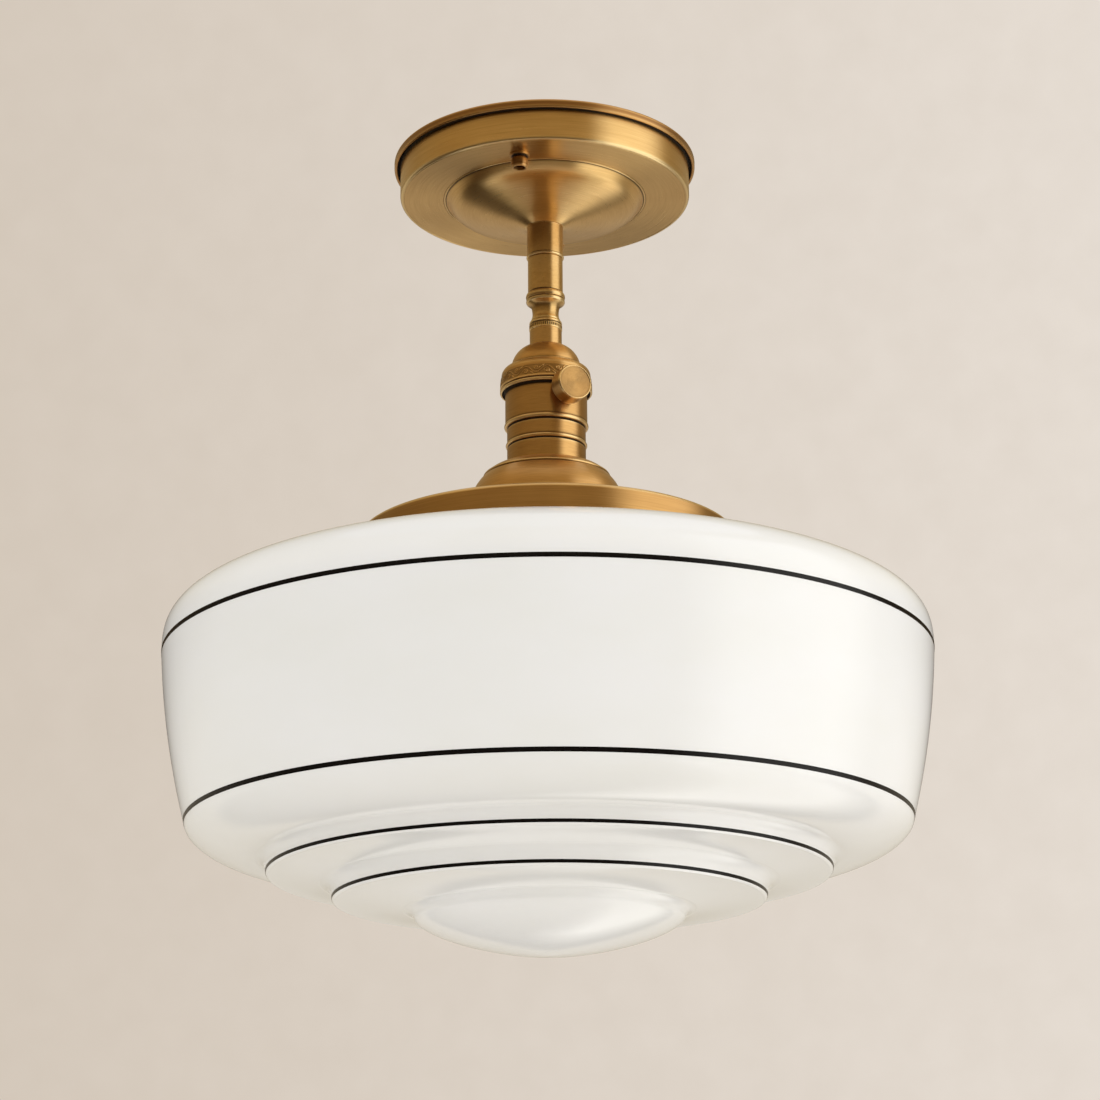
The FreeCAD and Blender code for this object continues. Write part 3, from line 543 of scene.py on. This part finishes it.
# %% Threads and knurls
def thread(pitch, depth, top, end):
    """Right-hand zigzag between two drops; it fades out over half a pitch at each end."""
    def rise(angle, drop, radius):
        wave = np.abs((drop / pitch + angle / (2 * np.pi)) % 1 - 0.5) * 2
        inside = np.clip(np.minimum(drop - top, end - drop) / pitch * 2, 0, 1)
        return -depth * wave * inside, 0.9 * wave * inside
    return rise


def knurl(count, depth, top, end):
    """Straight rounded teeth: a cosine of the angle, count to the turn, between two drops."""
    def rise(angle, drop, radius):
        wave = np.cos(count * angle) * 0.5 + 0.5
        inside = np.clip(np.minimum(drop - top, end - drop) / 0.4, 0, 1)
        return -depth * (1 - wave) * inside, 0.8 * (1 - wave) * inside
    return rise


def threaded_rod(radius, top, end, pitch, depth=0.28):
    """Rod with a pointed start at each end and a thread all along."""
    points = outline((0, top), (radius - depth, top), (radius, top + 0.5), (radius, end - 0.5),
                     (radius - depth, end), (0, end))
    return turned(points, 48, 0.08, pitch / 6, thread(pitch, depth, top, end), closed=False)


# The studs stand 55 mm from the axis; the far one is 7 degrees out of line with the near one.
STUD_AT, STUD_LEAN = 55.0, math.radians(7)
STUDS = ((0.0, -STUD_AT), (-STUD_AT * math.sin(STUD_LEAN), STUD_AT * math.cos(STUD_LEAN)))


def at_studs(shape):
    """The shape at both studs."""
    return joined(*[shifted(shape, *place) for place in STUDS])


piece("canopy_studs_threaded", at_studs(threaded_rod(2.05, 0.0, 23.8, 0.8)), ZINC, "fixture",
      "canopy_studs")
nut = outline((2.1, 19.2), (4.7, 19.2), (4.7, 20.4), (3.4, 20.4), (3.4, 21.3),
              [(4.1, 22.9), (3.9, 25.0)], [(3.6, 25.9), (3.1, 26.2)], (2.7, 26.2), (2.7, 24.0),
              (2.1, 24.0))
piece("cap_nuts_turned", at_studs(turned(nut, 96, 0.14, 0.3)), DARK_BRASS, "fixture", "cap_nuts")

# %% [markdown]
# The lamp pipe is threaded from end to end. Only its head shows, above the nut inside the canopy,
# so the fine rows of the thread are spent there and the rest of the pipe stays plain.

# %% Lamp pipe
pipe = outline((3.3, 22.0), (4.7, 22.0), (5.0, 22.4), (5.0, 103.0), (3.3, 103.0))
head = np.array([[5.0, drop] for drop in (22.4, 33.4)])
pipe = np.concatenate([pipe[:2], divide(head, 0.15, False), pipe[3:]])
piece("lamp_pipe_threaded", turned(pipe, 64, 0.1, None, thread(0.94, 0.4, 22.0, 33.0)), MILL_BRASS,
      "fixture", "stem_pipe")

# %% [markdown]
# ## Stem
# Four turned brass pieces threaded on the lamp pipe: a collar with a bead, a long cylinder that
# ends in a double bead and a cove, a small knurled ring, and a plain sleeve.

# %% Stem pieces
collar = outline((BORE, 33.5), (8.4, 33.5), [(8.75, 33.65), (8.8, 34.1)], (8.8, 48.4),
                 (8.65, 48.7), [(9.1, 49.45), (8.7, 50.05)], (8.1, 50.1), (8.1, 50.3), (BORE, 50.3))
piece("stem_collar_turned", turned(collar, 160, 0.12), BRASS, "fixture", "stem_collar")
body = outline((BORE, 50.3), (8.1, 50.3), (8.44, 50.7), (8.44, 67.6), (8.3, 67.9),
               [(9.35, 69.4), (9.2, 71.3)], (8.85, 71.6), [(9.35, 72.5), (8.6, 73.6)],
               [(7.0, 75.2), (6.43, 77.5), (6.43, 80.2), (6.9, 81.8)], (6.9, 82.4), (BORE, 82.4))
piece("stem_body_turned", turned(body, 160, 0.12), BRASS, "fixture", "stem_body")
ring = outline((BORE, 82.4), (6.9, 82.4), [(7.5, 82.9), (7.9, 84.0)], (7.6, 84.3), (7.6, 84.7),
               (7.95, 85.0), (7.95, 87.3), (7.6, 87.6), (BORE, 87.6))
piece("stem_ring_knurled", turned(ring, 480, 0.1, 0.2, knurl(48, 0.14, 85.0, 86.9)), BRASS,
      "fixture", "stem_ring")
sleeve = outline((BORE, 87.6), (7.73, 87.6), (7.73, 95.6), (BORE, 95.6))
piece("stem_sleeve_turned", turned(sleeve, 128, 0.15), WARM_BRASS, "fixture", "stem_sleeve")

# %% [markdown]
# ## Lampholder cap and its scroll band
# The cap is spun in one piece: a dome, a shoulder and an upright band that is rolled with a running
# scroll, the oldest trick to dress a plain ring. One repeat is a wave with a curl in each half and
# a leaf at each crossing. It is drawn as a string of discs, wide where the leaf swells; the height
# at a place follows its distance to the nearest disc, and the ground between stays dark.

# %% Scroll band
REPEATS, BAND_TOP, BAND_END = 13, 111.8, 117.2


def scroll_discs(wide, high):
    """Discs (x, y, radius) along one repeat: a sine wave, two spirals and two leaves."""
    t = np.linspace(0, 1, 90)
    wave = np.stack([t * wide, 0.30 * high * np.sin(2 * np.pi * t), 0.17 + 0 * t], 1)
    turn = np.linspace(0, 3.4 * np.pi, 80)
    size = 0.27 * high * np.exp(-turn / 6.2)
    curls = []
    for side, middle in ((1, 0.25), (-1, 0.75)):
        x = middle * wide - side * size * np.cos(turn) * 1.15
        y = side * (size * np.sin(turn) - 0.17 * high)
        curls.append(np.stack([x, y, 0.18 - 0.05 * turn / turn[-1]], 1))
        grow = np.linspace(0, 1, 30)
        leaf_x = (middle + 0.25) * wide + (grow - 0.3) * 0.17 * wide
        leaf_y = -side * (0.14 + 0.30 * grow) * high
        curls.append(np.stack([leaf_x, leaf_y, 0.06 + 0.34 * np.sin(np.pi * grow) ** 1.5], 1))
    return np.concatenate([wave, *curls])


def scroll_band(angle, drop, radius):
    """Raised scroll on a dark ground between the band's two edges, both with a fine line, and a
    painted shadow under the cap's lip.
    """
    wide, high = 2 * np.pi * 21.8 / REPEATS, BAND_END - BAND_TOP
    x = (angle * REPEATS / (2 * np.pi)) % 1 * wide
    y = (BAND_TOP + BAND_END) / 2 - drop
    inside = np.clip(np.minimum(drop - BAND_TOP, BAND_END - drop) / 0.25, 0, 1)
    on_band = (inside[:, 0] > 0) & (radius[:, 0] > 20.5)
    depth = np.full(np.broadcast_shapes(x.shape, y.shape), 9.0)
    for disc_x, disc_y, disc_r in scroll_discs(wide, high):
        across = (x - disc_x + wide / 2) % wide - wide / 2
        depth[on_band] = np.minimum(depth[on_band],
                                    np.hypot(across, y[on_band] - disc_y) - disc_r)
    raised = np.clip(0.5 - depth / 0.3, 0, 1)
    raised = raised * raised * (3 - 2 * raised)
    inside = inside * on_band[:, None]
    # Under the cap's lip the brass is painted dark, as shade.
    lip_painted_shadow = (drop > 118.4) & (radius < 21.3)
    return (0.22 * raised - 0.05) * inside, (0.3 - 0.42 * raised) * inside + 1.2 * lip_painted_shadow


def cap_side(inset):
    """Cap from the stem down to its band."""
    return outline(
        (7.7, 95.6 + inset), [(15.1 - inset, 101.3 + inset / 2), (16.6 - inset, 106.3)],
        [(17.1 - inset, 106.7), (16.75 - inset, 107.1)], (16.6 - inset, 107.3 + inset / 2),
        [(20.1 - inset, 108.2 + inset), (21.3 - inset, 110.4)],
        (22.1 - inset, 117.6))


cap = sheet_outline(
    np.concatenate([[(BORE, 95.6)], cap_side(0), outline((21.5, 118.0), (21.5, 118.2),
                    [(22.1, 118.9), (21.6, 119.9)], (21.15, 119.9), (21.0, 118.7), (19.65, 118.7))]),
    np.concatenate([[(BORE, 97.0)], cap_side(1.0)[1:], [(19.65, 118.1)]]))
piece("lampholder_cap_embossed", turned(cap, 1040, 0.12, 0.22, scroll_band), WARM_BRASS, "fixture",
      "socket_cap")

# %% [markdown]
# ## Lampholder shell and turn knob
# The shell is drawn brass with a step and a rolled bead, each with a shadow line under it. The
# turn knob is a plain turned disc on the switch shaft, with a thin raised rim round its face.

# %% Shell and knob
LOWER = 18.75
shell_out = outline(
    (19.6, 113.0), (19.6, 135.5), [(20.1, 136.5), (19.7, 137.4)], (18.35, 137.5), (18.35, 138.1),
    (LOWER, 138.4), (LOWER, 145.2), [(19.4, 146.1), (18.9, 146.9)], (18.35, 147.0), (18.35, 147.6),
    (LOWER, 147.9), (18.65, 172.0))
shell_in = outline((18.8, 113.0), (18.8, 136.7), (17.95, 137.5), (17.95, 172.0))


def shell_painted_shadow(angle, drop, radius):
    """No relief, but painted shadow just under the cap's lip."""
    return 0 * drop, 0.9 * np.clip((121.6 - drop) / 1.6, 0, 1) + 0 * angle


piece("lampholder_shell_drawn",
      turned(sheet_outline(shell_out, shell_in), 256, 0.1, 0.8, shell_painted_shadow), WARM_BRASS, "fixture",
      "socket_shell")
KNOB_AZIMUTH, KNOB_DROP = -51.2, 123.4
knob = outline((0, -22.5), (8.0, -22.5), (8.45, -22.9), (8.5, -23.6), (8.5, -30.5), (8.25, -30.9),
               (7.95, -31.0), (7.6, -30.75), (0, -30.75))


def face_painted_shade(angle, drop, radius):
    """No relief, but a touch of painted shade on the face inside the rim."""
    return 0 * drop, 0.16 * ((radius < 7.5) & (drop < -30)) + 0 * angle


piece("turn_knob", pointing(turned(knob, 160, 0.12, 0.5, face_painted_shade, closed=False), KNOB_AZIMUTH,
                            KNOB_DROP), WARM_BRASS, "switch", "switch_knob")
shaft = outline((0, 8.6), (2.5, 8.6), (2.5, -27.0), (0, -27.0))
piece("switch_shaft_turned", pointing(turned(shaft, 64, 0.2, closed=False), KNOB_AZIMUTH,
                                      KNOB_DROP), BRASS, "switch", "switch_shaft")
bush = outline((2.6, -18.6), (4.6, -18.6), (4.6, -20.2), (4.1, -20.7), (2.6, -20.7))
piece("knob_bushing", pointing(turned(bush, 96, 0.2), KNOB_AZIMUTH, KNOB_DROP), BRASS, "fixture")

# %% [markdown]
# ## Shade holder
# A domed collar stands on a wide shallow pan. Its upper edge is rolled to a bright lip, and there
# is a crease halfway down. The pan's skirt is upright and hides the rim of the glass.

# %% Holder
HOLDER_BORE, COLLAR_FOOT_R, CROWN_DROP, PAN_R = 18.8, 36.8, 176.4, 89.0
collar_out = outline(
    (HOLDER_BORE, 157.0), (20.4, 157.0), [(25.2, 158.3), (29.3, 161.2)],
    [(30.15, 161.8), (30.0, 162.5)], (30.35, 162.8), [(34.2, 168.0), (COLLAR_FOOT_R, CROWN_DROP)],
    (HOLDER_BORE, CROWN_DROP))
collar_in = outline((HOLDER_BORE, 161.5), (27.5, 161.6), (29.0, 163.6),
                    [(32.9, 168.3), (35.7, 176.0)], (HOLDER_BORE, 176.0))
collar = np.concatenate([collar_out[:-1], [(35.7, CROWN_DROP)], collar_in[::-1][1:]])
piece("holder_collar_spun", turned(collar, 256, 0.15), WARM_BRASS, "fixture", "holder_collar")


def pan_side(inset):
    """Pan from the collar's foot to the bottom of its skirt."""
    edge = PAN_R - inset
    return outline(
        (COLLAR_FOOT_R, CROWN_DROP + inset), [(60.0, 186.4 + inset), (edge - 2.6, 192.6 + inset)],
        [(edge - 0.6, 193.2 + inset), (edge, 194.7 + inset)], (edge, 216.4))


pan = sheet_outline(
    np.concatenate([[(HOLDER_BORE, CROWN_DROP)], pan_side(0),
                    arc((PAN_R, 216.4), (PAN_R + 0.5, 216.9), (PAN_R, 217.4))]),
    np.concatenate([[(HOLDER_BORE, CROWN_DROP + SHEET)], pan_side(SHEET), [(PAN_R - SHEET, 217.4)]]))
piece("holder_pan_spun", turned(pan, 384, 0.2), WARM_BRASS, "fixture", "fitter_pan")

# %% [markdown]
# Three tapped bosses on the skirt carry knurled thumbscrews that keep the glass from lifting out.
# Each screw has a thread and a knurled head with a bead round its end.

# %% Thumbscrews
SCREW_AZIMUTHS, SCREW_DROP = (105.0, 225.0, 345.0), 208.0
boss = outline((2.16, -88.7), (3.6, -88.7), (3.6, -92.2), (3.2, -92.6), (2.16, -92.6))
bosses = [pointing(turned(boss, 64, 0.2), azimuth, SCREW_DROP) for azimuth in SCREW_AZIMUTHS]
piece("screw_bosses_tapped", joined(*bosses), BRASS, "fixture", "screw_bosses")
shank = threaded_rod(2.1, -94.6, -83.7, 0.794)
grip = outline((0, -94.6), (3.0, -94.6), (3.0, -95.8), (4.2, -95.8), (4.4, -96.1), (4.4, -99.9),
               (4.0, -100.2), [(2.2, -100.55), (0, -100.6)])
grip = turned(grip, 216, 0.12, 0.25, knurl(30, 0.3, -99.8, -96.1), closed=False)
for number, azimuth in enumerate(SCREW_AZIMUTHS, start=1):
    piece(f"thumbscrew_{number}_thread", pointing(shank, azimuth, SCREW_DROP), MILL_BRASS,
          f"screw_{number}_travel", f"screw_shank_{number}")
    piece(f"thumbscrew_{number}_head", pointing(grip, azimuth, SCREW_DROP), BRASS,
          f"screw_{number}_turn", f"screw_head_{number}")

# %% [markdown]
# ## Stepped glass shade
# The shade is blown into a mould: a neck with a thick lip, a broad shoulder, a side that swells a
# little, three soft tiers and a bowl. The corners are superellipses, rounder than an arc, the curve
# that hot glass takes. The wall is one thickness all round, so the inside is the same outline moved
# inwards.

# %% Shade outline
SHADE_R, SHADE_DROP, GLASS = 178.0, 252.6, 3.2


def rounded(from_r, to_r, top, depth, power, count=40):
    """Corner that runs down and inwards: cosine and sine raised to one power."""
    turn = np.linspace(0, np.pi / 2, count + 1)[1:]
    side = np.maximum(np.cos(turn), 0) ** power
    return np.stack([to_r + (from_r - to_r) * side, top + depth * np.sin(turn) ** power], 1)


def shade_side(inset):
    """The whole shade from lip to the bottom of the bowl, moved in by the inset."""
    neck, base = 83.4 - inset, SHADE_DROP - inset
    foot = SHADE_DROP - 33.2 + inset
    turn = np.linspace(0.157, np.pi / 2, 60)
    shoulder = np.stack([76 + (SHADE_R - 76) * np.sin(turn) ** 0.64 - inset,
                         SHADE_DROP - 33.2 * np.maximum(np.cos(turn), 0) ** 0.64 + inset], 1)
    along = np.linspace(0, 1, 30)[1:]
    swell = SHADE_R - 12.4 * along + 8.4 * along * (1 - along) - inset
    wall = np.stack([swell, SHADE_DROP + inset + (77.4 - 2 * inset) * along], 1)
    return outline(
        (neck, 201.0), (neck, foot - 3.0), [(neck + 0.9, foot - 0.9), (neck + 3.0, foot)],
        shoulder, wall, rounded(165.6 - inset, 133.0 - inset, base + 77.4, 15.3, 1.11),
        [(129.7 - inset, base + 94.4), (128.6 - inset, base + 98.0)], (128.4 - inset, base + 99.1),
        [(127.9 - inset, base + 99.9), (126.6 - inset, base + 100.2)],
        [(116.0 - inset, base + 101.1), (104.5 - inset, base + 103.0)],
        [(100.1 - inset, base + 105.4), (98.7 - inset, base + 109.3)], (98.5 - inset, base + 110.6),
        [(98.0 - inset, base + 111.4), (96.8 - inset, base + 111.7)],
        [(82.0 - inset, base + 112.8), (66.5 - inset, base + 115.2)],
        [(63.0 - inset, base + 116.5), (61.4 - inset, base + 118.7)],
        rounded(61.4 - inset, 0.0, base + 118.7, 17.1, 1.30))


outside, inside = shade_side(0), shade_side(GLASS)
lip = outline((85.7, 201.0), [(86.5, 201.9), (86.5, 203.0)], [(85.5, 204.4), (83.4, 205.4)])
glass = np.concatenate([outside[::-1][:-1], lip[::-1], inside])
piece("glass_shade_blown", turned(glass, 448, 0.3, closed=False), OPAL, "fixture", "glass_shade")

# %% [markdown]
# ## Enamel lines
# Four black lines ring the shade. Real ones are painted while the shade turns on a wheel and then
# fired, so each is a skin a tenth of a millimetre thick with soft edges. The line's outline is the
# glass outline itself, lifted by a flat-topped hump.

# %% Enamel lines
# Each line: the drop of its middle below the widest ring, and its width.
LINES = ((0.0, 2.1), (77.2, 2.0), (98.7, 1.5), (110.1, 1.5))


def enamel_line(middle, width):
    """Closed outline that follows the glass between two drops, lifted 0.08 mm, sunk 0.1 mm.

    The hump over the glass is 1 - x to the power 6, flat in the middle and round at the edges.
    """
    drop = SHADE_DROP + middle + width * np.linspace(-0.5, 0.5, 13)
    radius = np.interp(drop, outside[:, 1], outside[:, 0])
    slope = np.gradient(radius, drop)
    normal = np.stack([np.ones_like(slope), -slope], 1) / np.hypot(1, slope)[:, None]
    hump = 0.08 * (1 - np.linspace(-1, 1, 13) ** 6)[:, None]
    track = np.stack([radius, drop], 1)
    return np.concatenate([track + normal * (hump + 0.01), (track - 0.1 * normal)[::-1]])


lines = [turned(enamel_line(*line), 448, 0.02) for line in LINES]
piece("enamel_lines", joined(*lines), ENAMEL, "fixture", "painted_bands")

# %% [markdown]
# ## Lamp and the works inside
# Nobody sees these in the photograph, but the light can be opened: a pear-shaped frosted lamp with
# a rolled screw cap, the threaded cup that takes it, and the brass and phenolic round them.

# %% Lamp and threaded cup
LAMP_PITCH = 3.63


def rolled_thread(depth, top, end, middle):
    """Rounded thread in thin sheet: the outside sinks where the inside, under middle, swells."""
    def rise(angle, drop, radius):
        wave = 0.5 - 0.5 * np.cos(2 * np.pi * drop / LAMP_PITCH + angle)
        edge = np.clip(np.minimum(drop - top, end - drop) / 2.0, 0, 1) * (radius > 11.5)
        return -depth * wave * edge * np.where(radius > middle, 1, -1), 0.3 * wave * edge
    return rise


def bulb_side(inset):
    """Bulb from its neck to its round end, moved in by the inset."""
    neck = outline((12.9 - inset, 173.3), [(14.6 - inset, 182.3), (19.5 - inset, 193.3),
                                           (27.0 - inset, 213.3), (30.0 - inset, 225.3)])
    return np.concatenate([neck, rounded(30.0 - inset, 0.0, 225.3, 30.0 - inset, 1.0)])


bulb = np.concatenate([bulb_side(1.0)[::-1], bulb_side(0)])
piece("lamp_bulb_frosted", turned(bulb, 160, 0.1, closed=False), FROSTED, "lamp", "lamp_glass")
cup = outline((0, 148.9), (5.0, 148.9), (12.3, 152.3), (13.0, 153.2), (13.0, 173.3), (12.2, 173.3),
              (12.2, 153.9), (5.0, 149.8), (0, 149.8))
piece("lamp_cap_rolled", turned(cup, 128, 0.3, 0.35, rolled_thread(0.8, 154.0, 171.0, 12.6),
                                closed=False), NICKEL, "lamp", "lamp_cap")
shell = outline((4.6, 143.0), (13.8, 143.0), (13.8, 170.5), (13.3, 170.5), (13.3, 143.5),
                (4.6, 143.5))
piece("screw_shell_rolled", turned(shell, 128, 0.1, 0.35, rolled_thread(0.5, 148.0, 169.5, 13.5)),
      MILL_BRASS, "fixture", "screw_shell")

# %% Finishes of the CAD nodes that stay
FINISHES = {
    ZINC: ("crossbar", "stud_lock_nuts", "pipe_washer"),
    GREEN_STEEL: ("ground_screw",),
    MILL_BRASS: ("pipe_nut", "terminal_screws", "centre_contact", "switch_cam",
                 "clamp_ring", "shell_extension"),
    PHENOLIC: ("socket_body",),
    FIBRE: ("insulating_liner",),
    PVC_BLACK: ("live_lead",),
    PVC_WHITE: ("neutral_lead",),
    SOLDER: ("lamp_tip",),
}
for material, names in FINISHES.items():
    for name in names:
        mesh = nodes[name].data
        mesh.materials.clear()
        mesh.materials.append(material)
print("shown CAD nodes", sum(len(names) for names in FINISHES.values()))

# %% [markdown]
# ## Studio
# The pale room is the world itself: a beige that the camera and every reflection see, and an even
# light for everything matt. A softbox on the right shapes the glass. What the brass reflects is a
# drum of brown cloth round the light, closed below, as a photographer hangs one. It has two bright
# windows: one on the right, for the stripe on the tubes, and one on the right of its floor, for
# the wedge on the canopy's dome. Only reflections see the cloth.
# The cloth is not lit: it glows with the colours given below, painted light that shows only in
# reflections.

# %% World and floor
world = bpy.data.worlds.new("room")
bpy.context.scene.world = world
world.use_nodes = True
tree = world.node_tree
tree.nodes.clear()
path = add(tree, "ShaderNodeLightPath").outputs
seen = add(tree, "ShaderNodeMath", {"operation": "MAXIMUM"}, i0=path["Is Camera Ray"],
           i1=path["Is Glossy Ray"])
seen = add(tree, "ShaderNodeMath", {"operation": "MAXIMUM"}, i0=seen.outputs[0],
           i1=path["Is Transmission Ray"])
way = add(tree, "ShaderNodeTexCoord").outputs["Generated"]
split = add(tree, "ShaderNodeSeparateXYZ", None, Vector=way)
# Painted shade: the wall grows paler from the left edge of the picture to its middle.
side = span(tree, split.outputs[0], -0.42, 0.02, 0.0, 1.0)
wall_side_shade = blend_colours(tree, side, "#D4C8BA", "#E7DED4")
grain = add(tree, "ShaderNodeTexNoise", None, Vector=way, Scale=70.0, Detail=6.0).outputs[0]
wall = blend_colours(tree, span(tree, grain, 0.3, 0.7, 0.0, 0.08), wall_side_shade, "#B7A997")
backdrop = add(tree, "ShaderNodeBackground", None, Color=wall, Strength=1.0)
light = add(tree, "ShaderNodeBackground", None, Color=linear("#FFFFFF"), Strength=0.95)
pick = add(tree, "ShaderNodeMixShader", None, i0=seen.outputs[0], i1=light.outputs[0],
           i2=backdrop.outputs[0])
add(tree, "ShaderNodeOutputWorld", None, Surface=pick.outputs[0])

FLOOR, HALF_FLOOR = -2.3, 6
corners = [(x * HALF_FLOOR, y * HALF_FLOOR, FLOOR) for x, y in ((-1, -1), (1, -1), (1, 1), (-1, 1))]
floor_mesh = bpy.data.meshes.new("floor")
floor_mesh.from_pydata(corners, [], [(0, 1, 2, 3)])
floor = bpy.data.objects.new("floor", floor_mesh)
bpy.context.scene.collection.objects.link(floor)
floor_mesh.materials.append(patterned("floor_plaster", "#FAF8F5", "#F3F0EB", 0.8, 0.05, 3.0))

# %% Softbox
def toward(azimuth, elevation=0.0):
    """Direction at an azimuth right of the camera's side, lifted by an elevation."""
    turn, lift = CAMERA_TURN + math.radians(azimuth), math.radians(elevation)
    return Vector((math.sin(turn) * math.cos(lift), -math.cos(turn) * math.cos(lift),
                   math.sin(lift)))


SOFTBOX_AWAY, MIDDLE = 2.2, Vector((0, 0, -0.22))
out = toward(80, 2)
lamp = bpy.data.lights.new("softbox_right", "AREA")
lamp.shape, lamp.size, lamp.size_y, lamp.energy = "RECTANGLE", 2.3, 2.2, 13
softbox = bpy.data.objects.new("softbox_right", lamp)
bpy.context.scene.collection.objects.link(softbox)
softbox.matrix_world = (Matrix.Translation(MIDDLE + out * SOFTBOX_AWAY)
                        @ out.to_track_quat("Z", "Y").to_matrix().to_4x4())
softbox.visible_camera = softbox.visible_glossy = False

# %% [markdown]
# The cloth is a grid: a step along its width turns it round the light, and a step along its
# profile goes out over the floor and then up the wall. Its colour is mixed from how high a place is
# and how far it lies towards the back or a window: the dot product with a level direction, which on
# the wall is the cosine of the angle between them.

# %% Cloth and window
RING, RING_FOOT, RING_TOP = 2.5, -2.2, 3.6
turn = np.radians(np.arange(0, 360, 5))
reach = np.r_[0.01, 0.8, 1.6, np.full(9, RING)][:, None]
rise = np.r_[np.full(3, RING_FOOT), np.linspace(RING_FOOT, RING_TOP, 9)][:, None]
places = np.stack(np.broadcast_arrays(reach * np.sin(turn), -reach * np.cos(turn), rise), -1)
index = np.arange(places[..., 0].size).reshape(places.shape[:2])
index = np.concatenate([index, index[:, :1]], 1)
quads = np.stack([index[:-1, :-1], index[:-1, 1:], index[1:, 1:], index[1:, :-1]], -1)
ring_mesh = bpy.data.meshes.new("studio_cloth")
ring_mesh.from_pydata(places.reshape(-1, 3).tolist(), [], quads.reshape(-1, 4).tolist())

material, tree, shader = new_material("studio_cloth")
spot = add(tree, "ShaderNodeTexCoord").outputs["Object"]
height = add(tree, "ShaderNodeSeparateXYZ", None, Vector=spot).outputs[2]


def facing(azimuth, full, none):
    """1 within an angle of the azimuth, falling to 0 at a wider angle, by the dot product."""
    across = add(tree, "ShaderNodeVectorMath", {"operation": "DOT_PRODUCT"}, i0=spot,
                 i1=toward(azimuth)).outputs["Value"]
    return span(tree, across, RING * math.cos(math.radians(none)),
                RING * math.cos(math.radians(full)), 0.0, 1.0)


def opening(azimuth, full, none, low, high):
    """Soft-edged patch of the cloth, by azimuth and height."""
    ends = add(tree, "ShaderNodeMath", {"operation": "MINIMUM"},
               i0=span(tree, height, low - 0.3, low + 0.3, 0.0, 1.0),
               i1=span(tree, height, high + 0.3, high - 0.3, 0.0, 1.0))
    return add(tree, "ShaderNodeMath", {"operation": "MULTIPLY"}, i0=facing(azimuth, full, none),
               i1=ends.outputs[0]).outputs[0]


# On the camera's side the lampholder shows the dark cloth low down, the stem and drum the tan above.
near = blend_colours(tree, span(tree, height, 0.55, 1.0, 0.0, 1.0), "#4A3823", "#C6AE80")
# At the back, from below: the dome's left flank, the flat of the canopy, the tubes' outlines.
low_far = blend_colours(tree, span(tree, height, -1.5, -1.3, 0.0, 1.0), "#2A1F12", "#BFB4A0")
mid_far = blend_colours(tree, span(tree, height, -0.15, 0.25, 0.0, 1.0), low_far, "#54432D")
far = blend_colours(tree, span(tree, height, 0.45, 0.95, 0.0, 1.0), mid_far, "#A8966F")
cloth = blend_colours(tree, facing(180, 55, 100), near, far)
open_part = add(tree, "ShaderNodeMath", {"operation": "MAXIMUM"},
                i0=opening(72, 18, 36, -1.9, 2.4), i1=opening(110, 64, 75, -3.0, -1.9))
colour = blend_colours(tree, open_part.outputs[0], cloth, "#FFFDF8")
glow = add(tree, "ShaderNodeEmission", None, Color=colour,
           Strength=span(tree, open_part.outputs[0], 0.0, 1.0, 1.0, 1.45))
tree.links.new(glow.outputs[0], tree.nodes["Material Output"].inputs["Surface"])
ring_mesh.materials.append(material)
ring_object = bpy.data.objects.new("studio_cloth", ring_mesh)
bpy.context.scene.collection.objects.link(ring_object)
for ray in ("camera", "diffuse", "transmission", "shadow", "volume_scatter"):
    setattr(ring_object, "visible_" + ray, False)

# %% [markdown]
# ## Finish
# The colours are shown as they are written (the Standard view).

# %% Finish
bpy.context.scene.view_settings.view_transform = "Standard"
